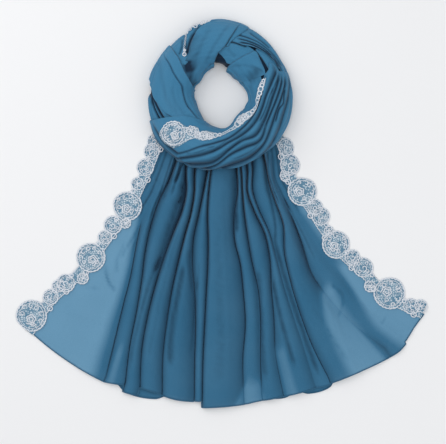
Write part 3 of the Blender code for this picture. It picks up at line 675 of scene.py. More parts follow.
def roll_at(angle, distance, lift=SECOND):
    """Roll of the place that lies at a distance in plan."""
    section = ring_section(angle)
    low = np.zeros(np.broadcast(angle, distance).shape)
    high = low + 180.0
    for _ in range(24):
        middle = (low + high) / 2
        short = section_place(section, middle, lift)[0] < distance
        low = np.where(short, middle, low)
        high = np.where(short, high, middle)
    return (low + high) / 2


def on_ring(angle, distance, lift):
    """Points and outward directions on the ring at a place in plan and a lift."""
    roll = roll_at(angle, distance, lift)
    points = ring_point(angle, roll, lift)
    return points, ring_point(angle, roll, lift + 1.0) - points


def outer_foot(angle):
    """Roll where a wall ends outside: near the table, or above the tail."""
    return mix(OUTER_FOOT, TAIL_FOOT, over_tail(angle))


# The tail: a height over each angle and distance

def line_angle(index, distance):
    """Angle of one of the tail's fold lines at a distance."""
    return curve(STATIONS, LINES[index][1], distance)


def fold_shape(fold, share):
    """Rounded crest between two sharp valleys, 0 to 1."""
    crest, far = fold[0], fold[4]
    rise = np.sin(math.pi / 2 * np.clip(share / crest, 0, 1)) ** 0.7
    fall = np.cos(math.pi / 2 * np.clip((share - crest) / (1 - crest), 0, 1))
    return np.where(share <= crest, rise, np.maximum(fall, 0.0) ** far)


def tail_floor(angle, distance):
    """Height of what the tail lies on: the under tail or the table."""
    left = curve(column(UNDER_SIDES, 0), column(UNDER_SIDES, 1), distance)
    right = curve(column(UNDER_SIDES, 0), column(UNDER_SIDES, 2), distance)
    inside = step(left - 2.2, left - 0.7, angle) * (1 - step(right + 0.7, right + 2.2, angle))
    return (TAIL_WALL + SPACE) * inside


def from_edge(angle, distance):
    """Distance in from the nearer long edge of the tail."""
    left = line_angle(0, distance)
    right = line_angle(len(LINES) - 1, distance)
    return np.radians(np.minimum(angle - left, right - angle)) * distance


def flat_edge(angle, distance):
    """0 under the lace of either long edge, 1 farther in."""
    return step(EDGE_FLAT, EDGE_FULL, from_edge(angle, distance))


def crease_edge(angle, distance):
    """The same for small creases, which come closer to the lace near the neck."""
    near = mix(7.0, EDGE_FLAT, step(190, 230, distance))
    full = mix(14.0, 30.0, step(190, 230, distance))
    return step(0.0, 1.0, (from_edge(angle, distance) - near) / (full - near))


def single_share(angle, distance):
    """1 where one layer alone lies on the table."""
    share = np.zeros(np.broadcast(angle, distance).shape)
    for strength, soft, (near, far), left, right in SINGLE_PATCHES:
        first = curve(column(left, 0), column(left, 1), distance)
        last = curve(column(right, 0), column(right, 1), distance)
        inside = step(first - soft, first + soft, angle)
        inside = inside * (1 - step(last - soft, last + soft, angle))
        inside = inside * step(near - 12, near + 12, distance) * (1 - step(far, far + 6, distance))
        share = np.maximum(share, strength * inside)
    return share


def tail_relief(angle, distance, filled=False):
    """Height of the tail's main folds, or with filled of a roof over their crests."""
    angle, distance = np.broadcast_arrays(angle, distance)
    lines = np.stack([line_angle(i, distance) for i in range(len(LINES))])
    index = (lines <= angle).sum(axis=0) - 1
    height = np.zeros(angle.shape)
    for i, fold in enumerate(FOLDS):
        share = np.clip((angle - lines[i]) / (lines[i + 1] - lines[i]), 0.0, 1.0)
        hem = curve((0.0, 0.5, 1.0), fold[5:8], share)
        along = np.clip((distance - NECK_RADIUS) / (hem - NECK_RADIUS), 0.0, 1.0)
        crest = curve((0.0, MIDDLE_SHARE, 1.0), fold[1:4], along)
        shape = 1.0 if filled else fold_shape(fold, share)
        height = np.where(index == i, crest * shape, height)
    return height * flat_edge(angle, distance)


def tail_top(angle, distance):
    """Height of the tail's upper side, without its small creases."""
    return tail_floor(angle, distance) + TAIL_WALL + tail_relief(angle, distance)


def tail_grid():
    """Angle and distance of the upper tail's grid, and the angle of each point's valley.

    Its columns lie closer together near the valleys.
    """
    folds, shares = [], []
    for index, fold in enumerate(FOLDS):
        even = np.arange(fold[8]) / fold[8]
        shares.extend(mix(even, (1 - np.cos(math.pi * even)) / 2, 0.5))
        folds.extend([index] * fold[8])
    folds.append(len(FOLDS) - 1)
    shares.append(1.0)
    shares = np.array(shares)
    along = np.linspace(0, 1, TAIL_STEPS + 1)[:, None]
    hem = np.array([float(curve((0.0, 0.5, 1.0), FOLDS[index][5:8], share))
                    for index, share in zip(folds, shares)])
    distance = mix(NECK_RADIUS, hem[None, :], along)
    lines = np.stack([line_angle(i, distance) for i in range(len(LINES))])
    which = np.array(folds)
    columns = np.arange(len(folds))
    valley = lines[which, :, columns].T
    next_valley = lines[which + 1, :, columns].T
    return mix(valley, next_valley, shares[None, :]), distance, valley


def tail_layers_and_painted_shade(angle, distance, valley, small):
    """Depth of colour of the upper tail: painted shade inside its folds, in its slits and in small
    creases, lighter where one layer lies alone.
    """
    roof = tail_relief(angle, distance, filled=True)
    below = roof - tail_relief(angle, distance)
    inside = np.clip(below / SHADE_FOLD_DEPTH, 0.0, 1.0) ** 1.1
    from_valley = np.radians(angle - valley) * distance / SLIT_SHADE_WIDTH
    slit_shade = np.exp(-from_valley ** 2) * step(1.5, 4.5, roof)
    single = single_share(angle, distance)
    # Small creases are painted darker, as painted shade, on single layers too
    crease = np.clip(-small / 4.0, 0.0, 1.0) ** 1.4
    depth = mix(MID_DEPTH, 1.0, np.maximum(np.maximum(inside, slit_shade), 0.85 * crease))
    return depth * (1 - single) + 0.5 * crease * single


# Meshes

def link_mesh(name, points, faces, material):
    """Smooth mesh object from points and their faces."""
    mesh = bpy.data.meshes.new(name)
    mesh.from_pydata(points.reshape(-1, 3).tolist(), [], faces)
    mesh.materials.append(material)
    mesh.shade_smooth()
    piece = bpy.data.objects.new(name, mesh)
    bpy.context.scene.collection.objects.link(piece)
    return piece


def set_attribute(piece, name, values):
    """Gives each point of a piece a number that its material reads."""
    layer = piece.data.attributes.new(name, "FLOAT", "POINT")
    layer.data.foreach_set("value", np.ravel(values).astype(np.float32))


def lay_uv(piece, across, along):
    """UV map in real metres, so that a weave keeps its size on the cloth."""
    mesh = piece.data
    layer = mesh.uv_layers.new(name="weave")
    corners = np.empty(len(mesh.loops), np.int32)
    mesh.loops.foreach_get("vertex_index", corners)
    both = np.stack((np.ravel(across), np.ravel(along)), axis=-1)[corners]
    layer.data.foreach_set("uv", both.ravel().astype(np.float32))


def run_lengths(points, axis):
    """Mean length along a grid's rows or columns."""
    edges = np.linalg.norm(np.diff(points, axis=axis), axis=-1).mean(axis=1 - axis)
    return np.concatenate(([0.0], np.cumsum(edges)))


def cloth(name, points, outward, material, depth, thickness, wrap=False):
    """Thin shell of cloth from a grid of points, its wall on the inner side.

    depth is the depth of colour, from the layers of cloth and from painted shade in the folds: 0 on
    crests and 1 in the folds. wrap joins the last row to the first.
    """
    rows, columns = points.shape[:2]
    index = np.arange(rows * columns).reshape(rows, columns)
    if wrap:
        index = np.vstack((index, index[:1]))
    corners = (index[:-1, :-1], index[:-1, 1:], index[1:, 1:], index[1:, :-1])
    faces = np.stack([corner.ravel() for corner in corners], axis=-1)
    flat = points.reshape(-1, 3)
    normals = np.cross(flat[faces[:, 1]] - flat[faces[:, 0]], flat[faces[:, 2]] - flat[faces[:, 0]])
    if (normals * outward.reshape(-1, 3)[faces[:, 0]]).sum() < 0:
        faces = faces[:, ::-1]
    piece = link_mesh(name, points, faces.tolist(), material)
    set_attribute(piece, "layers_and_painted_shade", depth)
    across, along = np.meshgrid(run_lengths(points, 1), run_lengths(points, 0))
    lay_uv(piece, across, along)
    add_thickness(piece, thickness)
    return piece


def add_thickness(piece, thickness):
    """Gives a surface its wall, on the side away from its normals."""
    bpy.ops.object.select_all(action="DESELECT")
    piece.select_set(True)
    bpy.context.view_layer.objects.active = piece
    wall = piece.modifiers.new("wall", "SOLIDIFY")
    wall.thickness = thickness
    wall.offset = -1.0
    bpy.ops.object.modifier_apply(modifier=wall.name)
    piece.select_set(False)


def cord_mesh(name, cords, material, sides=6):
    """Cords in one mesh.

    Each cord has points, normals, half width, half height and whether it is closed.
    """
    points, faces, uvs = [], [], []
    start = 0
    turns = 2 * math.pi * (np.arange(sides) + 0.5) / sides
    for centre, normal, half_width, half_height, closed in cords:
        count = len(centre)
        if closed:
            run = np.roll(centre, -1, axis=0) - np.roll(centre, 1, axis=0)
        else:
            run = np.gradient(centre, axis=0)
        side = np.cross(run, normal)
        side /= np.linalg.norm(side, axis=1)[:, None]
        up = np.cross(side, run)
        up /= np.linalg.norm(up, axis=1)[:, None]
        taper = np.ones(count)
        if not closed:
            taper[0] = taper[-1] = CORD_TAPER
        reach = side[:, None] * (np.cos(turns) * half_width)[None, :, None]
        reach = reach + up[:, None] * (np.sin(turns) * half_height)[None, :, None]
        ring = centre[:, None] + reach * taper[:, None, None]
        points.append(ring.reshape(-1, 3))
        edges = np.linalg.norm(np.diff(centre, axis=0), axis=1)
        length = np.concatenate(([0.0], np.cumsum(edges)))
        around_and_along = np.meshgrid(np.arange(sides) / sides, length)
        uvs.append(np.stack(around_and_along, axis=-1).reshape(-1, 2))
        last = count if closed else count - 1
        for i in range(last):
            here = start + i * sides
            there = start + (i + 1) % count * sides
            for j in range(sides):
                k = (j + 1) % sides
                faces.append((here + j, there + j, there + k, here + k))
        if not closed:
            faces.append(tuple(start + j for j in range(sides)))
            faces.append(tuple(start + (count - 1) * sides + j for j in reversed(range(sides))))
        start += count * sides
    piece = link_mesh(name, np.concatenate(points), faces, material)
    both = np.concatenate(uvs)
    lay_uv(piece, both[:, 0], both[:, 1])
    return piece


def own(piece, slot, *nodes):
    """Rides on the scarf and stands for its CAD nodes, which it hides."""
    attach(piece, BODY)
    if nodes:
        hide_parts(*nodes)
    return piece


# Materials

def linear(code):
    """Linear colour from an sRGB hex code."""
    parts = [int(code[i:i + 2], 16) / 255 for i in (1, 3, 5)]
    return (*[p / 12.92 if p <= 0.04045 else ((p + 0.055) / 1.055) ** 2.4 for p in parts], 1.0)


def add(tree, kind, settings=None, inputs=None):
    """Adds a node with its settings, and its inputs as values or links."""
    node = tree.nodes.new(kind)
    for name, value in (settings or {}).items():
        setattr(node, name, value)
    for name, value in (inputs or {}).items():
        if isinstance(value, bpy.types.NodeSocket):
            tree.links.new(value, node.inputs[name])
        else:
            node.inputs[name].default_value = value
    return node


def new_material(name):
    """Material with its Principled shader, or None for the shader if it is there already."""
    known = bpy.data.materials.get(name)
    if known:
        return known, None
    material = bpy.data.materials.new(name)
    material.use_nodes = True
    return material, material.node_tree.nodes["Principled BSDF"]


def crepe_chiffon(name, mid, alpha, settings):
    """Crepe chiffon, woven from twisted yarn: matte, pebbled and slightly see-through.

    Its threads are 0.2 mm apart, too fine to show, so the weave is drawn at 1.3 mm
    and the crepe's pebbles at 1.1 mm. Folds are painted darker towards the fold colour, as
    painted shade; where one layer lies alone, the colour is lighter.
    """
    material, shader = new_material(name)
    if shader is None:
        return material
    tree = material.node_tree
    uv = add(tree, "ShaderNodeUVMap", {"uv_map": "weave"}).outputs["UV"]
    pebbles = add(tree, "ShaderNodeTexNoise", None,
                  {"Vector": uv, "Scale": 1 / GRAIN, "Detail": 3.0, "Roughness": 0.6})
    clouds = add(tree, "ShaderNodeTexNoise", None, {"Vector": uv, "Scale": 14.0, "Detail": 2.0})
    warp = add(tree, "ShaderNodeTexWave", {"bands_direction": "X"},
               {"Vector": uv, "Scale": BANDS_PER_SCALE / WEAVE, "Distortion": 1.5})
    weft = add(tree, "ShaderNodeTexWave", {"bands_direction": "Y"},
               {"Vector": uv, "Scale": BANDS_PER_SCALE / WEAVE, "Distortion": 1.5})
    crossing = add(tree, "ShaderNodeMath", {"operation": "MULTIPLY"},
                   {0: warp.outputs["Fac"], 1: weft.outputs["Fac"]})
    relief = add(tree, "ShaderNodeMath", {"operation": "ADD"},
                 {0: crossing.outputs[0], 1: pebbles.outputs["Fac"]})
    fold = add(tree, "ShaderNodeAttribute", {"attribute_name": "layers_and_painted_shade"})
    grain = add(tree, "ShaderNodeMapRange", None,
                {"Value": pebbles.outputs["Fac"], "From Min": 0.3, "From Max": 0.7,
                 "To Min": 0.0, "To Max": 0.14})
    cloud = add(tree, "ShaderNodeMapRange", None,
                {"Value": clouds.outputs["Fac"], "From Min": 0.3, "From Max": 0.7,
                 "To Min": 0.0, "To Max": 0.10})
    lightness = add(tree, "ShaderNodeMath", {"operation": "ADD"},
                    {0: grain.outputs["Result"], 1: cloud.outputs["Result"]})
    single = add(tree, "ShaderNodeMapRange", None,
                 {"Value": fold.outputs["Fac"], "From Min": MID_DEPTH, "From Max": 0.0,
                  "To Min": 0.0, "To Max": 0.8})
    # Painted shade: past double cloth's depth the colour darkens towards the fold colour
    folded = add(tree, "ShaderNodeMapRange", None,
                 {"Value": fold.outputs["Fac"], "From Min": MID_DEPTH, "From Max": 1.0})
    paleness = add(tree, "ShaderNodeMath", {"operation": "ADD"},
                   {0: lightness.outputs[0], 1: single.outputs["Result"]})
    colour = add(tree, "ShaderNodeMix", {"data_type": "RGBA"},
                 {0: paleness.outputs[0], 6: mid, 7: settings.single_colour})
    with_painted_shade = add(tree, "ShaderNodeMix", {"data_type": "RGBA"},
                  {0: folded.outputs["Result"], 6: colour.outputs[2],
                   7: settings.fold_shade_colour})
    bump = add(tree, "ShaderNodeBump", None,
               {"Strength": 0.25, "Distance": 0.25 * MM, "Height": relief.outputs[0]})
    tree.links.new(with_painted_shade.outputs[2], shader.inputs["Base Color"])
    tree.links.new(bump.outputs["Normal"], shader.inputs["Normal"])
    shader.inputs["Roughness"].default_value = 0.8
    shader.inputs["IOR"].default_value = 1.45
    shader.inputs["Specular IOR Level"].default_value = 0.3
    shader.inputs["Sheen Weight"].default_value = 0.12
    shader.inputs["Sheen Roughness"].default_value = 0.5
    shader.inputs["Alpha"].default_value = alpha
    return material


def silver_embroidery(name, painted_glint, painted_shade):
    """Silver-white rayon and metallic thread in satin stitch: a broken, soft shine,
    partly its own metallic finish, partly painted glints and painted shade.

    Its stitches are 0.4 mm apart, too fine to show, so they are drawn at 1 mm.
    """
    material, shader = new_material(name)
    if shader is None:
        return material
    tree = material.node_tree
    uv = add(tree, "ShaderNodeUVMap", {"uv_map": "weave"}).outputs["UV"]
    stitches = add(tree, "ShaderNodeTexWave", {"bands_direction": "Y"},
                   {"Vector": uv, "Scale": BANDS_PER_SCALE / STITCH, "Distortion": 2.0})
    place = add(tree, "ShaderNodeTexCoord").outputs["Object"]
    # Painted glints: small spots where the thread turns to its bright colour
    sparkle = add(tree, "ShaderNodeTexNoise", None,
                  {"Vector": place, "Scale": 1 / PAINTED_GLINT_SIZE, "Detail": 2.0})
    both = add(tree, "ShaderNodeMath", {"operation": "MULTIPLY"},
               {0: stitches.outputs["Fac"], 1: sparkle.outputs["Fac"]})
    share = add(tree, "ShaderNodeMapRange", None,
                {"Value": both.outputs[0], "From Min": 0.0, "From Max": 0.45,
                 "To Min": 0.0, "To Max": 1.0})
    colour = add(tree, "ShaderNodeMix", {"data_type": "RGBA"},
                 {0: share.outputs["Result"], 6: painted_shade, 7: painted_glint})
    bump = add(tree, "ShaderNodeBump", None,
               {"Strength": 0.4, "Distance": 0.3 * MM, "Height": stitches.outputs["Fac"]})
    tree.links.new(colour.outputs[2], shader.inputs["Base Color"])
    tree.links.new(bump.outputs["Normal"], shader.inputs["Normal"])
    shader.inputs["Roughness"].default_value = 0.42
    shader.inputs["Metallic"].default_value = 0.15
    shader.inputs["Sheen Weight"].default_value = 0.3
    return material


def fill_stitches(name, gap, silver):
    """Chiffon ground almost covered by small silver leaves in fill stitch, teal between them.

    The leaves are about 3 mm across, and their single stitches are too fine to show.
    """
    material, shader = new_material(name)
    if shader is None:
        return material
    tree = material.node_tree
    place = add(tree, "ShaderNodeTexCoord").outputs["Object"]
    leaves = add(tree, "ShaderNodeTexVoronoi",
                 {"feature": "DISTANCE_TO_EDGE", "voronoi_dimensions": "2D"},
                 {"Vector": place, "Scale": 1 / LEAF, "Randomness": 1.0})
    tones = add(tree, "ShaderNodeTexVoronoi",
                {"feature": "F1", "voronoi_dimensions": "2D"},
                {"Vector": place, "Scale": 1 / LEAF, "Randomness": 1.0})
    cover = add(tree, "ShaderNodeMapRange", None,
                {"Value": leaves.outputs["Distance"], "From Min": 0.07, "From Max": 0.2,
                 "To Min": 0.0, "To Max": 1.0})
    each = add(tree, "ShaderNodeSeparateColor", None, {"Color": tones.outputs["Color"]})
    kept = add(tree, "ShaderNodeMapRange", None,
               {"Value": each.outputs[0], "From Min": 0.2, "From Max": 0.5,
                "To Min": 0.1, "To Max": 1.0})
    share = add(tree, "ShaderNodeMath", {"operation": "MULTIPLY"},
                {0: cover.outputs["Result"], 1: kept.outputs["Result"]})
    colour = add(tree, "ShaderNodeMix", {"data_type": "RGBA"},
                 {0: share.outputs[0], 6: gap, 7: silver})
    bump = add(tree, "ShaderNodeBump", None,
               {"Strength": 0.5, "Distance": 0.4 * MM, "Height": share.outputs[0]})
    tree.links.new(colour.outputs[2], shader.inputs["Base Color"])
    tree.links.new(bump.outputs["Normal"], shader.inputs["Normal"])
    shader.inputs["Roughness"].default_value = 0.6
    shader.inputs["Sheen Weight"].default_value = 0.2
    return material


def seamless_paper(name, tone):
    """Matte white backdrop paper, with a fine tooth."""
    material, shader = new_material(name)
    if shader is None:
        return material
    tree = material.node_tree
    place = add(tree, "ShaderNodeTexCoord").outputs["Object"]
    tooth = add(tree, "ShaderNodeTexNoise", None,
                {"Vector": place, "Scale": 400.0, "Detail": 3.0})
    bump = add(tree, "ShaderNodeBump", None,
               {"Strength": 0.05, "Distance": 0.1 * MM, "Height": tooth.outputs["Fac"]})
    tree.links.new(bump.outputs["Normal"], shader.inputs["Normal"])
    shader.inputs["Base Color"].default_value = tone
    shader.inputs["Roughness"].default_value = 0.9
    shader.inputs["Specular IOR Level"].default_value = 0.2
    return material


def ring_cloth(settings):
    """Cloth of the ring, which lies in many layers and lets nothing through."""
    return crepe_chiffon("crepe_chiffon_layers", settings.cloth_colour, RING_ALPHA, settings)


def tail_cloth(settings):
    """Cloth of the tail, which lets a little of the table through."""
    return crepe_chiffon("crepe_chiffon_single", settings.tail_colour, CLOTH_ALPHA, settings)


def lace_ground():
    """Ground of the lace borders."""
    return fill_stitches("chiffon_with_silver_fill_stitches", linear(FILL_GAP),
                         linear(FILL_SILVER))


def thread(settings):
    """Thread of the lace's raised cords, in painted glint and painted shade colours."""
    return silver_embroidery("silver_satin_stitch", settings.thread_glint_colour,
                             linear(THREAD_PAINTED_SHADE))


# Ring pieces

def grid(rows, columns):
    """Shares from 0 to 1 along the rows and along the columns of a grid."""
    down = np.linspace(0, 1, rows + 1)
    across = np.linspace(0, 1, columns + 1)
    return np.meshgrid(down, across, indexing="ij")


def rolled_edge(share, length):
    """How far cloth turns down towards a folded edge, with share 0 at the edge."""
    away = np.clip(share * length / EDGE_TURN, 0.0, 1.0)
    return EDGE_TURN * 0.75 * (1 - np.sqrt(1 - (1 - away) ** 2))


def ring_cloth_piece(name, rows, columns, place, lift, settings):
    """Cloth on the ring: place gives angle and roll, lift gives height and the depth of colour,
    with painted shade in its folds.
    """
    p, q = grid(rows, columns)
    angle, roll = place(p, q)
    height, depth = lift(p, q, angle, roll)
    points = ring_point(angle, roll, height)
    outward = ring_point(angle, roll, height + 1.0) - points
    return cloth(name, points, outward, ring_cloth(settings), depth, settings.cloth_thickness)


def layers_and_painted_shade(relief, full):
    """Depth of colour: that of double cloth at the outer level, painted darker as shade to 1 at a
    full crease's depth.
    """
    return mix(MID_DEPTH, 1.0, np.clip(-relief / full, 0.0, 1.0) ** 1.3)


def pleat_share(angle, distance):
    """Which pleat of the front strand a place is in, its share across, and all valleys."""
    valleys = np.stack([curve(PLEAT_ANGLES, row[1], angle) for row in PLEATS])
    count = (valleys <= distance).sum(axis=0)
    share = np.zeros(np.broadcast(angle, distance).shape)
    for i in range(len(PLEATS) - 1):
        inside = (distance - valleys[i]) / (valleys[i + 1] - valleys[i])
        share = np.where(count == i + 1, np.clip(inside, 0.0, 1.0), share)
    return count, share, valleys


def pleat_relief(angle, distance):
    """Front strand's pleats: rounded between valleys, 0 to 1."""
    count, share, valleys = pleat_share(angle, distance)
    height = np.sin(math.pi * share ** 0.8) ** 0.45
    height = height * step(valleys[0], valleys[0] + PLEAT_RISE, distance)
    outside = 0.6 * step(valleys[-1], valleys[-1] + PLEAT_RISE, distance)
    return np.where(count == len(PLEATS), outside, height)


def pleat_painted_shade(angle, distance):
    """Painted shade of the front strand: dark gaps, and a darker far side on each pleat, which
    faces away from the light.
    """
    _, share, valleys = pleat_share(angle, distance)
    away = np.abs(distance - valleys).min(axis=0) / PLEAT_SHADE_WIDTH
    return np.maximum(np.exp(-away * away), 0.9 * step(0.3, 1.0, share))


def front_place(p, q):
    """Angle and roll on the front strand: p along it, q across it."""
    start = curve(column(FRONT_START, 0), column(FRONT_START, 1), q)
    finish = curve(column(FRONT_END, 0), column(FRONT_END, 1), q)
    angle = mix(start, finish, p)
    border = curve(column(FRONT_BORDER, 0), column(FRONT_BORDER, 1), angle)
    first = mix(INNER_FOOT, roll_at(angle, border), step(312, 326, angle))
    return angle, mix(first, outer_foot(angle), q)


def front_base(angle):
    """Lift of the front strand's lower side: higher where the left band goes under it."""
    return mix(THIRD + 0.6, SECOND + 0.4, step(258, 275, angle))


def front_top(angle, distance, pleat_height):
    """Lift of the front strand's upper side at a place in plan."""
    return front_base(angle) + WALL + pleat_height * pleat_relief(angle, distance)


def span_place(table, inside=None, outside=None):
    """Angle and roll on a band whose start and end angles depend on the distance.

    The band runs from foot to foot, or from and to a given distance in plan.
    """
    distances = column(table, 0)

    def border(side, distance):
        return curve(distances, column(table, side), distance)

    def between(distance, share):
        return mix(border(1, distance), border(2, distance), share)

    def settle(side, roll):
        angle = border(side, distances[len(distances) // 2])
        for _ in range(8):
            angle = border(side, section_place(ring_section(angle), roll, SECOND)[0])
        return angle

    def place(p, q):
        first = INNER_FOOT
        if inside:
            first = roll_at(between(inside, p), np.full(p.shape, inside))
        if outside:
            last = roll_at(between(outside, p), np.full(p.shape, outside))
        else:
            last = outer_foot(between(distances[-1], p))
        roll = mix(first, last, q)
        return mix(settle(1, roll), settle(2, roll), p), roll

    return place


def settled(level, roll):
    """Lift of a band's start: it lies down onto the ring towards the outer foot."""
    return mix(level, min(level, SECOND), step(120, 165, roll))


def build_band(row, settings):
    """One band or fold of the ring, with its creases and folded edges."""
    node, table, inside, outside, rows, columns, levels, lines, lengths, rolled = row
    first, last, start, finish = levels

    def lift(p, q, angle, roll):
        distance = section_place(ring_section(angle), roll, SECOND)[0]
        relief = creases(angle, distance, lines)
        seed = sum(ord(letter) for letter in node)
        relief += RING_RIPPLE * ripples(distance, np.radians(angle) * 70.0, 9.0, 60.0, seed)
        relief += side_folds(angle, roll, seed)
        shares = (p, 1 - p, q, 1 - q)
        for share, length, turned in zip(shares, (lengths[0],) * 2 + (lengths[1],) * 2, rolled):
            if turned:
                relief = relief - rolled_edge(share, length)
        base = mix(settled(first, roll), last, step(start, finish, p)) + WALL
        # Creases, turned edges and wall folds are painted darker here, as painted shade
        return base + relief, layers_and_painted_shade(relief, 3.0)

    place = span_place(table, inside, outside)
    return ring_cloth_piece(node + "_cloth", rows, columns, place, lift, settings)


# Lace

def lace_reach(motifs, distance, side):
    """How far the scalloped edge reaches from the seam, outward or inward."""
    reach = np.full(np.shape(distance), LACE_WAIST)
    for centre, offset, radius in motifs:
        room = np.maximum(radius * radius - (distance - centre) ** 2, 0.0)
        reach = np.where(room > 0, np.maximum(reach, side * offset + np.sqrt(room)), reach)
    return reach


def lace_plan(edge, side, distance, offset):
    """Plan place in metres at an outward offset from the tail's long edge."""
    nudge = 2.0
    ahead = polar(line_angle(edge, distance + nudge), distance + nudge, 0.0)
    behind = polar(line_angle(edge, distance - nudge), distance - nudge, 0.0)
    run = ahead - behind
    length = np.hypot(run[..., 0], run[..., 1])
    place = polar(line_angle(edge, distance), distance, 0.0)
    x = place[..., 0] + side * run[..., 1] / length * offset * MM
    y = place[..., 1] - side * run[..., 0] / length * offset * MM
    return x, y


def lace_surface(edge, side, distance, offset, lift):
    """Point on the lace: over the tail's edge, then down to the table."""
    x, y = lace_plan(edge, side, distance, offset)
    across = x / MM - RING_X
    along = y / MM - RING_Y
    angle = np.degrees(np.arctan2(along, across)) % 360
    from_centre = np.hypot(across, along)
    floor = (tail_top(angle, from_centre) + SPACE) * (1 - step(*LACE_DROP, offset))
    return np.stack((x, y, (floor + lift) * MM), axis=-1)


def scalloped(radius, bumps, depth, turn=0.0):
    """Closed line with rounded scallops outside."""
    t = np.linspace(0, 2 * math.pi, bumps * 6, endpoint=False)
    r = radius - depth * (1 - np.abs(np.sin(bumps * t / 2)))
    return np.stack((r * np.cos(t + turn), r * np.sin(t + turn)), axis=-1)


def petal(centre, turn, length, width):
    """Closed drop-shaped loop with its point at the centre."""
    t = np.linspace(0, 2 * math.pi, 12, endpoint=False)
    x = length * (1 - np.cos(t)) / 2
    y = width * np.sin(t) * (1 - np.cos(t)) / 2.6
    return np.stack((centre[0] + x * math.cos(turn) - y * math.sin(turn),
                     centre[1] + x * math.sin(turn) + y * math.cos(turn)), axis=-1)


def scroll(centre, turn, size, way):
    """Open spiral that curls in to its centre."""
    t = np.linspace(0, 1, 20)
    r = size * (1 - 0.8 * t)
    a = turn + way * t * 3.4 * math.pi / 2
    return np.stack((centre[0] + r * np.cos(a), centre[1] + r * np.sin(a)), axis=-1)


def rose(centre, radius, turn, way):
    """Open spiral of petals round a centre."""
    t = np.linspace(0.0, 1.0, 46)
    a = turn + way * t * 2.1 * 2 * math.pi
    r = radius * (0.18 + 0.82 * t) * (1 + 0.14 * np.sin(5 * a))
    return np.stack((centre[0] + r * np.cos(a), centre[1] + r * np.sin(a)), axis=-1)


def large_motif(radius, bumps, turn, way, draw):
    """Inside of a medallion: an inner ring, a rose off the middle, curls and petals."""
    lines = [(scalloped(radius - 4.6, bumps, 0.6, turn), 0.5, True)]
    centre = np.array((0.2 * radius * math.cos(turn), 0.2 * radius * math.sin(turn)))
    lines.append((rose(centre, 0.36 * radius, turn, way), 0.95, False))
    for i in range(9):
        a = turn + (i + draw.uniform(-0.2, 0.2)) * 2 * math.pi / 9
        reach = (0.66 - 0.12 * math.cos(a - turn)) * radius if i % 2 else 0.62 * radius
        spot = (reach * math.cos(a), reach * math.sin(a))
        if np.hypot(spot[0] - centre[0], spot[1] - centre[1]) < 0.44 * radius:
            continue
        if i % 3 == 2:
            size = draw.uniform(0.24, 0.3) * radius
            lines.append((petal(spot, a + draw.uniform(1.8, 3.2) * way, size, size), 0.7, True))
        else:
            size = draw.uniform(0.15, 0.2) * radius
            lines.append((scroll(spot, draw.uniform(0, 2 * math.pi), size, -way), 0.8, False))
    return lines


def middle_motif(radius, bumps, turn, way):
    """Inside of a middle motif: an inner ring, a curl and four petals."""
    lines = [(scalloped(radius - 4.0, bumps, 0.5, turn), 0.4, True)]
    lines.append((scroll((0.1 * radius, 0.0), turn, 0.34 * radius, way), 0.85, False))
    for i in range(4):
        a = turn + (i + 0.4) * math.pi / 2
        spot = (0.42 * radius * math.cos(a), 0.42 * radius * math.sin(a))
        lines.append((petal(spot, a + 1.2 * way, 0.34 * radius, 0.3 * radius), 0.6, True))
    return lines


def small_motif(radius, turn):
    """Inside of a small motif: a flower of four petals."""
    return [(petal((0.0, 0.0), turn + i * math.pi / 2, 0.62 * radius, 0.5 * radius), 0.6, True)
            for i in range(4)]


def motif_lines(radius, draw):
    """Lines of one motif, each with its half width and whether it is closed.

    A motif has a scalloped border round an inside for its size. The smallest are
    plain rings.
    """
    turn = draw.uniform(0, 2 * math.pi)
    way = 1 if draw.uniform() < 0.5 else -1
    if radius < SMALL_MOTIF:
        return [(scalloped(radius - 0.8, 6, 0.3, turn), 0.85, True)]
    bumps = max(7, round(2 * math.pi * radius / SCALLOP))
    lines = [(scalloped(radius - 0.8, bumps, 1.3, turn), 0.8, True)]
    if radius >= LARGE_MOTIF:
        return lines + large_motif(radius, bumps, turn, way, draw)
    if radius >= MIDDLE_MOTIF:
        return lines + middle_motif(radius, bumps, turn, way)
    return lines + small_motif(radius, turn)


def link_motifs(motifs):
    """Small rings where two motifs of a lace edge meet, inside and outside in turn."""
    links = []
    for i, (first, second) in enumerate(zip(motifs[:-1], motifs[1:])):
        middle = (first[0] + first[2] + second[0] - second[2]) / 2
        links.append((middle, LINK_OFFSETS[i % 2], LINK_RADII[i % 2]))
    return links


def motif_cords(motifs, surface, seed):
    """Cords of all motifs: surface gives points and normals from a motif's own plan."""
    draw = np.random.RandomState(seed)
    cords = []
    for motif in motifs:
        for line, half_width, closed in motif_lines(motif[2], draw):
            points, normals = surface(motif, line[:, 0], line[:, 1])
            height = half_width * CORD_RISE
            cords.append((points, normals, half_width * MM, height * MM, closed))
    return cords


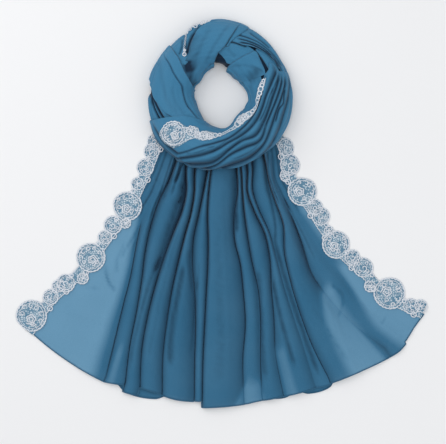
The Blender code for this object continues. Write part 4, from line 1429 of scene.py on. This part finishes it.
def build_lace_edge(name, edge, side, motifs, finish, settings):
    """Lace on one long edge of the tail: its ground and its raised embroidery."""
    p, q = grid(LACE_STEPS, LACE_COLUMNS)
    distance = mix(LACE_FROM, finish, p)
    inward = lace_reach(motifs, distance, -1)
    outward = lace_reach(motifs, distance, 1)
    offset = mix(-inward, outward, q)
    points = lace_surface(edge, side, distance, offset, GROUND_LEVEL)
    ground = cloth(name, points, straight_up(points), lace_ground(), np.zeros(p.shape),
                   settings.cloth_thickness)

    def surface(motif, along, out):
        centre, start, _ = motif
        place = lace_surface(edge, side, centre + along, start + out, CORD_LEVEL)
        return place, straight_up(place)

    cords = motif_cords((*motifs, *link_motifs(motifs)), surface, 11 + edge)
    along = np.linspace(LACE_FROM, finish, RIM_STEPS)
    scallops = 1.1 * np.abs(np.sin(math.pi * along / RIM_SCALLOP))
    for sign in (-1.0, 1.0):
        reach = lace_reach(motifs, along, sign) - RIM_INSET + scallops
        rim = lace_surface(edge, side, along, sign * reach, RIM_LEVEL)
        cords.append((rim, straight_up(rim), 0.6 * MM, 0.5 * MM, False))
    embroidery = cord_mesh(name + "_embroidery", cords, thread(settings))
    return ground, embroidery


# Operators

class ScarfSettings(bpy.types.PropertyGroup):
    """Sizes and colours that a user would change."""

    cloth_thickness: bpy.props.FloatProperty(
        name="Cloth thickness", description="Thickness of one layer of chiffon",
        default=0.4 * MM, unit="LENGTH", precision=5)
    hem_radius: bpy.props.FloatProperty(
        name="Hem radius", description="Radius of the narrow rolled hem",
        default=0.8 * MM, unit="LENGTH", precision=5)
    pleat_height: bpy.props.FloatProperty(
        name="Pleat height", description="Height of the front strand's pleats",
        default=3.2 * MM, unit="LENGTH", precision=5)
    cloth_colour: bpy.props.FloatVectorProperty(
        name="Ring colour", description="Colour of the ring's cloth, which lies in layers",
        default=linear(CLOTH_MID), size=4, min=0.0, max=1.0, subtype="COLOR")
    tail_colour: bpy.props.FloatVectorProperty(
        name="Tail colour", description="Colour of the tail's cloth where it lies double",
        default=linear(TAIL_MID), size=4, min=0.0, max=1.0, subtype="COLOR")
    # Painted shade: the colour that folds and gaps are painted towards
    fold_shade_colour: bpy.props.FloatVectorProperty(
        name="Fold colour", description="Colour of the cloth deep inside its folds",
        default=linear(CLOTH_PAINTED_SHADE), size=4, min=0.0, max=1.0, subtype="COLOR")
    single_colour: bpy.props.FloatVectorProperty(
        name="Single layer colour", description="Colour where one layer lies on the table",
        default=linear(CLOTH_LIGHT), size=4, min=0.0, max=1.0, subtype="COLOR")
    # Painted glint: the thread's lit colour, mixed with a painted shade
    thread_glint_colour: bpy.props.FloatVectorProperty(
        name="Thread colour", description="Colour of the silver-white thread in the light",
        default=linear(THREAD_PAINTED_GLINT), size=4, min=0.0, max=1.0, subtype="COLOR")
    table_colour: bpy.props.FloatVectorProperty(
        name="Table colour", description="Colour of the pale paper under the scarf",
        default=linear(PAPER), size=4, min=0.0, max=1.0, subtype="COLOR")


def settings_of(context):
    """The scarf's settings in the scene."""
    return context.scene.scarf


class SCARF_OT_hidden_layers(bpy.types.Operator):
    """Makes the ring's hidden layers as one rounded bundle"""

    bl_idname = "scarf.hidden_layers"
    bl_label = "Hidden layers"

    def execute(self, context):
        settings = settings_of(context)
        around = np.arange(LAYER_STEPS) / LAYER_STEPS
        p, q = np.meshgrid(around, np.linspace(0, 1, LAYER_ROLLS), indexing="ij")
        angle = 360.0 * p
        rim = mix(LAYER_RIM, LAYER_RIM_TAIL, over_tail(angle))
        roll = mix(LAYER_FOOT, rim, q)
        distance = section_place(ring_section(angle), roll, 0.0)[0]
        sway = 2.2 * np.sin(np.radians(angle))
        folds = np.abs(np.sin(math.pi * distance / LAYER_FOLD_SPACING + sway))
        height = -LAYER_DROP - LAYER_FOLD * folds
        points = ring_point(angle, roll, height)
        outward = ring_point(angle, roll, height + 1.0) - points
        # The hidden layers show only in deep gaps, so they are painted wholly in the fold colour,
        # as painted shade
        piece = cloth("ring_layers", points, outward, ring_cloth(settings), np.ones(p.shape),
                      settings.cloth_thickness, wrap=True)
        own(piece, "chiffon", "ring_core")
        return {"FINISHED"}


class SCARF_OT_front_strand(bpy.types.Operator):
    """Makes the pleated strand round the bottom and up the right side"""

    bl_idname = "scarf.front_strand"
    bl_label = "Front strand"

    def execute(self, context):
        settings = settings_of(context)
        pleat_height = settings.pleat_height / MM

        def lift(p, q, angle, roll):
            base = front_base(angle) + WALL
            distance = section_place(ring_section(angle), roll, base)[0]
            sides = (1 - step(172, 190, roll)) * step(0.0, 0.05, p) * (1 - step(0.93, 1.0, p))
            pleats = pleat_relief(angle, distance)
            relief = creases(angle, distance, FRONT_CREASES)
            relief += RING_RIPPLE * ripples(distance, np.radians(angle) * 80.0, 7.0, 70.0, 3)
            walls = side_folds(angle, roll, 7)
            turned = rolled_edge(q, STRAND_WIDTH) * step(312, 326, angle)
            turned = turned + rolled_edge(1 - p, STRAND_LENGTH) * (1 - step(0.35, 0.6, q))
            corner = CORNER_DROP * (1 - step(0.0, 0.12, p)) * step(130, 165, roll)
            height = base + (pleat_height * pleats + relief) * sides + walls - turned - corner
            # Gaps between pleats and each pleat's far side sink a little and are painted darker, as
            # painted shade; creases too
            inside = pleat_painted_shade(angle, distance) * sides * (1 - step(0.9, 1.0, q))
            height = height - GAP_DROP * inside
            crease_shade = layers_and_painted_shade(relief + walls, 2.2)
            return height, np.maximum(mix(MID_DEPTH, 0.95, inside), crease_shade)

        piece = ring_cloth_piece("strand_cloth", STRAND_ROWS, STRAND_COLUMNS, front_place, lift,
                                 settings)
        own(piece, "chiffon", "strand_front")
        return {"FINISHED"}


class SCARF_OT_bands(bpy.types.Operator):
    """Makes the smooth bands and small folds of the ring"""

    bl_idname = "scarf.bands"
    bl_label = "Bands and folds"

    def execute(self, context):
        for row in BANDS:
            piece = build_band(row, settings_of(context))
            own(piece, "chiffon", *HIDDEN_STRETCH.get(row[0], (row[0],)))
        return {"FINISHED"}


def hem_cord(name, edge, settings):
    """Narrow rolled hem along an edge of cloth."""
    radius = settings.hem_radius
    hem = (edge, straight_up(edge), radius, radius * 0.7, False)
    piece = cord_mesh(name, [hem], ring_cloth(settings), 8)
    # The hem is painted darker, for its rolled layers and as painted shade
    set_attribute(piece, "layers_and_painted_shade", np.full(len(piece.data.vertices), HEM_LAYERS_AND_SHADE))
    return piece


class SCARF_OT_tail(bpy.types.Operator):
    """Makes the upper tail with its folds, creases and hem"""

    bl_idname = "scarf.tail"
    bl_label = "Tail"

    def execute(self, context):
        settings = settings_of(context)
        angle, distance, valley = tail_grid()
        small = creases(angle, distance, TAIL_CREASES)
        small += TAIL_RIPPLE * ripples(np.radians(angle) * distance, distance, 16.0, 150.0, 5)
        small *= crease_edge(angle, distance)
        least = tail_floor(angle, distance) + LEAST_TAIL
        height = np.maximum(tail_top(angle, distance) + small, least)
        points = polar(angle, distance, height)
        depth = tail_layers_and_painted_shade(angle, distance, valley, small)
        piece = cloth("tail_front_cloth", points, straight_up(points), tail_cloth(settings),
                      depth, settings.cloth_thickness)
        own(piece, "chiffon", "tail_front")
        edge = points[-1].copy()
        edge[:, 2] += 0.1 * MM
        hem_piece = own(hem_cord("tail_front_hem", edge, settings), "chiffon")
        return {"FINISHED"}


class SCARF_OT_under_tail(bpy.types.Operator):
    """Makes the under tail, flat on the table"""

    bl_idname = "scarf.under_tail"
    bl_label = "Under tail"

    def execute(self, context):
        settings = settings_of(context)
        p, q = grid(UNDER_ROWS, UNDER_COLUMNS)
        angles = column(UNDER_HEM, 0)
        hem = curve(angles, column(UNDER_HEM, 1), mix(angles[0], angles[-1], q))
        distance = mix(NECK_RADIUS + 0.5, hem, p)
        left = curve(column(UNDER_SIDES, 0), column(UNDER_SIDES, 1), distance)
        right = curve(column(UNDER_SIDES, 0), column(UNDER_SIDES, 2), distance)
        angle = mix(left, right, q)
        small = UNDER_RIPPLE * ripples(np.radians(angle) * distance, distance, 20.0, 120.0, 8)
        points = polar(angle, distance, UNDER_LEVEL + small)
        piece = cloth("tail_under_cloth", points, straight_up(points), tail_cloth(settings),
                      np.full(p.shape, MID_DEPTH), settings.cloth_thickness)
        own(piece, "chiffon", "tail_under")
        hem_piece = own(hem_cord("tail_under_hem", points[-1], settings), "chiffon")
        return {"FINISHED"}


class SCARF_OT_lace_borders(bpy.types.Operator):
    """Makes the lace on both long edges of the tail"""

    bl_idname = "scarf.lace_borders"
    bl_label = "Lace borders"

    def execute(self, context):
        settings = settings_of(context)
        last = len(LINES) - 1
        for name, edge, side, motifs, finish in (
            ("lace_left_ground", 0, 1, LACE_LEFT, LACE_LEFT_END),
            ("lace_right_ground", last, -1, LACE_RIGHT, LACE_RIGHT_END),
        ):
            ground, embroidery = build_lace_edge(name, edge, side, motifs, finish, settings)
            own(ground, "chiffon", name.replace("_ground", ""))
            own(embroidery, "embroidery")
        return {"FINISHED"}


def back_lace(settings):
    """Glimpses of lace on the stretch that shows between the top and left bands."""

    def lifted(angle, distance):
        ridge = creases(angle, distance, BACK_CREASES[:1])
        return on_ring(angle, distance, FIRST + WALL + GROUND_LEVEL + ridge)

    order = np.arange(len(BACK_LACE))
    places = np.linspace(0, len(BACK_LACE) - 1, 120)
    wave = 0.8 * np.abs(np.sin(places * 7.0))
    angle = curve(order, column(BACK_LACE, 0), places)
    distance = curve(order, column(BACK_LACE, 1), places)
    cords = []
    for inset in (0.0, 2.2):
        points, normals = lifted(angle, distance + wave - inset)
        cords.append((points, normals, 0.3 * MM, 0.3 * MM, False))
    draw = np.random.RandomState(41)
    for place, radius in BACK_MOTIFS:
        x, y = plan(float(curve(order, column(BACK_LACE, 0), place)),
                    float(curve(order, column(BACK_LACE, 1), place)) - 2.0)
        for line, half_width, closed in motif_lines(radius, draw):
            around = np.degrees(np.arctan2(y + line[:, 1], x + line[:, 0])) % 360
            points, normals = lifted(around, np.hypot(x + line[:, 0], y + line[:, 1]))
            width, height = half_width * 0.8 * MM, half_width * 0.6 * MM
            cords.append((points, normals, width, height, closed))
    return cord_mesh("lace_back_embroidery", cords, thread(settings))


class SCARF_OT_strand_lace(bpy.types.Operator):
    """Makes the lace on the front strand"""

    bl_idname = "scarf.strand_lace"
    bl_label = "Strand lace"

    def execute(self, context):
        settings = settings_of(context)
        pleat_height = settings.pleat_height / MM
        angles = column(FRONT_LACE, 0)

        def lifted(angle, distance, extra):
            return on_ring(angle, distance, front_top(angle, distance, pleat_height) + extra)

        p, q = grid(220, 14)
        angle = mix(angles[0], angles[-1], p)
        inner = curve(angles, column(FRONT_LACE, 1), angle)
        outer = curve(angles, column(FRONT_LACE, 2), angle)
        points, outward = lifted(angle, mix(inner, outer, q), GROUND_LEVEL)
        ground = cloth("lace_front_ground", points, outward, lace_ground(), np.zeros(p.shape),
                       settings.cloth_thickness)

        def surface(motif, along, out):
            centre_angle, centre_distance, _ = motif
            x, y = plan(centre_angle, centre_distance)
            x, y = x + along, y + out
            around = np.degrees(np.arctan2(y, x)) % 360
            around = np.where(around < 180, around + 360, around)
            return lifted(around, np.hypot(x, y), 1.0)

        cords = motif_cords(FRONT_MOTIFS, surface, 29)
        wave = 0.12 * np.abs(np.sin(np.radians(angle[:, 0]) * 15.0))
        for share in (0.04 + wave, 0.96 - wave):
            distance = mix(inner[:, 0], outer[:, 0], share)
            rim, normal = lifted(angle[:, 0], distance, CORD_LEVEL)
            cords.append((rim, normal, 0.5 * MM, 0.45 * MM, False))
        embroidery = cord_mesh("lace_front_embroidery", cords, thread(settings))
        own(ground, "chiffon", "lace_front")
        own(embroidery, "embroidery")
        own(back_lace(settings), "embroidery")
        return {"FINISHED"}


class SCARF_OT_stage(bpy.types.Operator):
    """Makes the pale table, the lights and the camera straight above"""

    bl_idname = "scarf.stage"
    bl_label = "Stage"

    def execute(self, context):
        bpy.ops.object.select_all(action="DESELECT")
        bpy.ops.mesh.primitive_plane_add(size=TABLE_SIZE, location=(0.0, 0.0, TABLE_LEVEL))
        table = context.active_object
        table.name = "table"
        paper = seamless_paper("seamless_paper", settings_of(context).table_colour)
        table.data.materials.append(paper)
        bpy.ops.object.transform_apply(location=True, rotation=True, scale=True)

        away = PICTURE_WIDTH * PIXEL * LENS / SENSOR
        bpy.ops.object.camera_add(location=(CAMERA_X, CAMERA_Y, away), rotation=(0.0, 0.0, 0.0))
        camera = context.active_object
        camera.data.lens = LENS
        camera.data.sensor_width = SENSOR
        context.scene.camera = camera

        for name, place, size, watts in LIGHTS:
            bpy.ops.object.light_add(type="AREA", location=place)
            light = context.active_object
            light.name = name
            light.data.size = size
            light.data.energy = watts
            aim = -np.array(place) / np.linalg.norm(place)
            turn = math.atan2(aim[1], aim[0])
            tilt = math.acos(-aim[2])
            light.rotation_euler = (0.0, tilt, turn + math.pi)
        world = context.scene.world or bpy.data.worlds.new("studio")
        context.scene.world = world
        world.use_nodes = True
        background = world.node_tree.nodes["Background"]
        background.inputs["Color"].default_value = linear(STUDIO)
        background.inputs["Strength"].default_value = STUDIO_STRENGTH
        context.scene.view_settings.view_transform = "Standard"
        return {"FINISHED"}


class SCARF_PT_panel(bpy.types.Panel):
    """Lists the scarf's pieces in the sidebar"""

    bl_label = "Hijab headscarf"
    bl_idname = "SCARF_PT_panel"
    bl_space_type = "VIEW_3D"
    bl_region_type = "UI"
    bl_category = "Scarf"

    def draw(self, context):
        for name in ScarfSettings.__annotations__:
            self.layout.prop(settings_of(context), name)
        for operator in OPERATORS:
            self.layout.operator(operator.bl_idname)


OPERATORS = (
    SCARF_OT_stage, SCARF_OT_hidden_layers, SCARF_OT_bands, SCARF_OT_front_strand,
    SCARF_OT_under_tail, SCARF_OT_tail, SCARF_OT_lace_borders, SCARF_OT_strand_lace,
)
CLASSES = (ScarfSettings, *OPERATORS, SCARF_PT_panel)


def register():
    """Adds the classes and the scene's settings."""
    for kind in CLASSES:
        bpy.utils.register_class(kind)
    bpy.types.Scene.scarf = bpy.props.PointerProperty(type=ScarfSettings)


def unregister():
    """Takes them out again."""
    del bpy.types.Scene.scarf
    for kind in reversed(CLASSES):
        bpy.utils.unregister_class(kind)


def main():
    """Makes the whole scarf."""
    register()
    bpy.ops.scarf.stage()
    bpy.ops.scarf.hidden_layers()
    bpy.ops.scarf.bands()
    bpy.ops.scarf.front_strand()
    bpy.ops.scarf.under_tail()
    bpy.ops.scarf.tail()
    bpy.ops.scarf.lace_borders()
    bpy.ops.scarf.strand_lace()


if __name__ == "__main__":
    main()
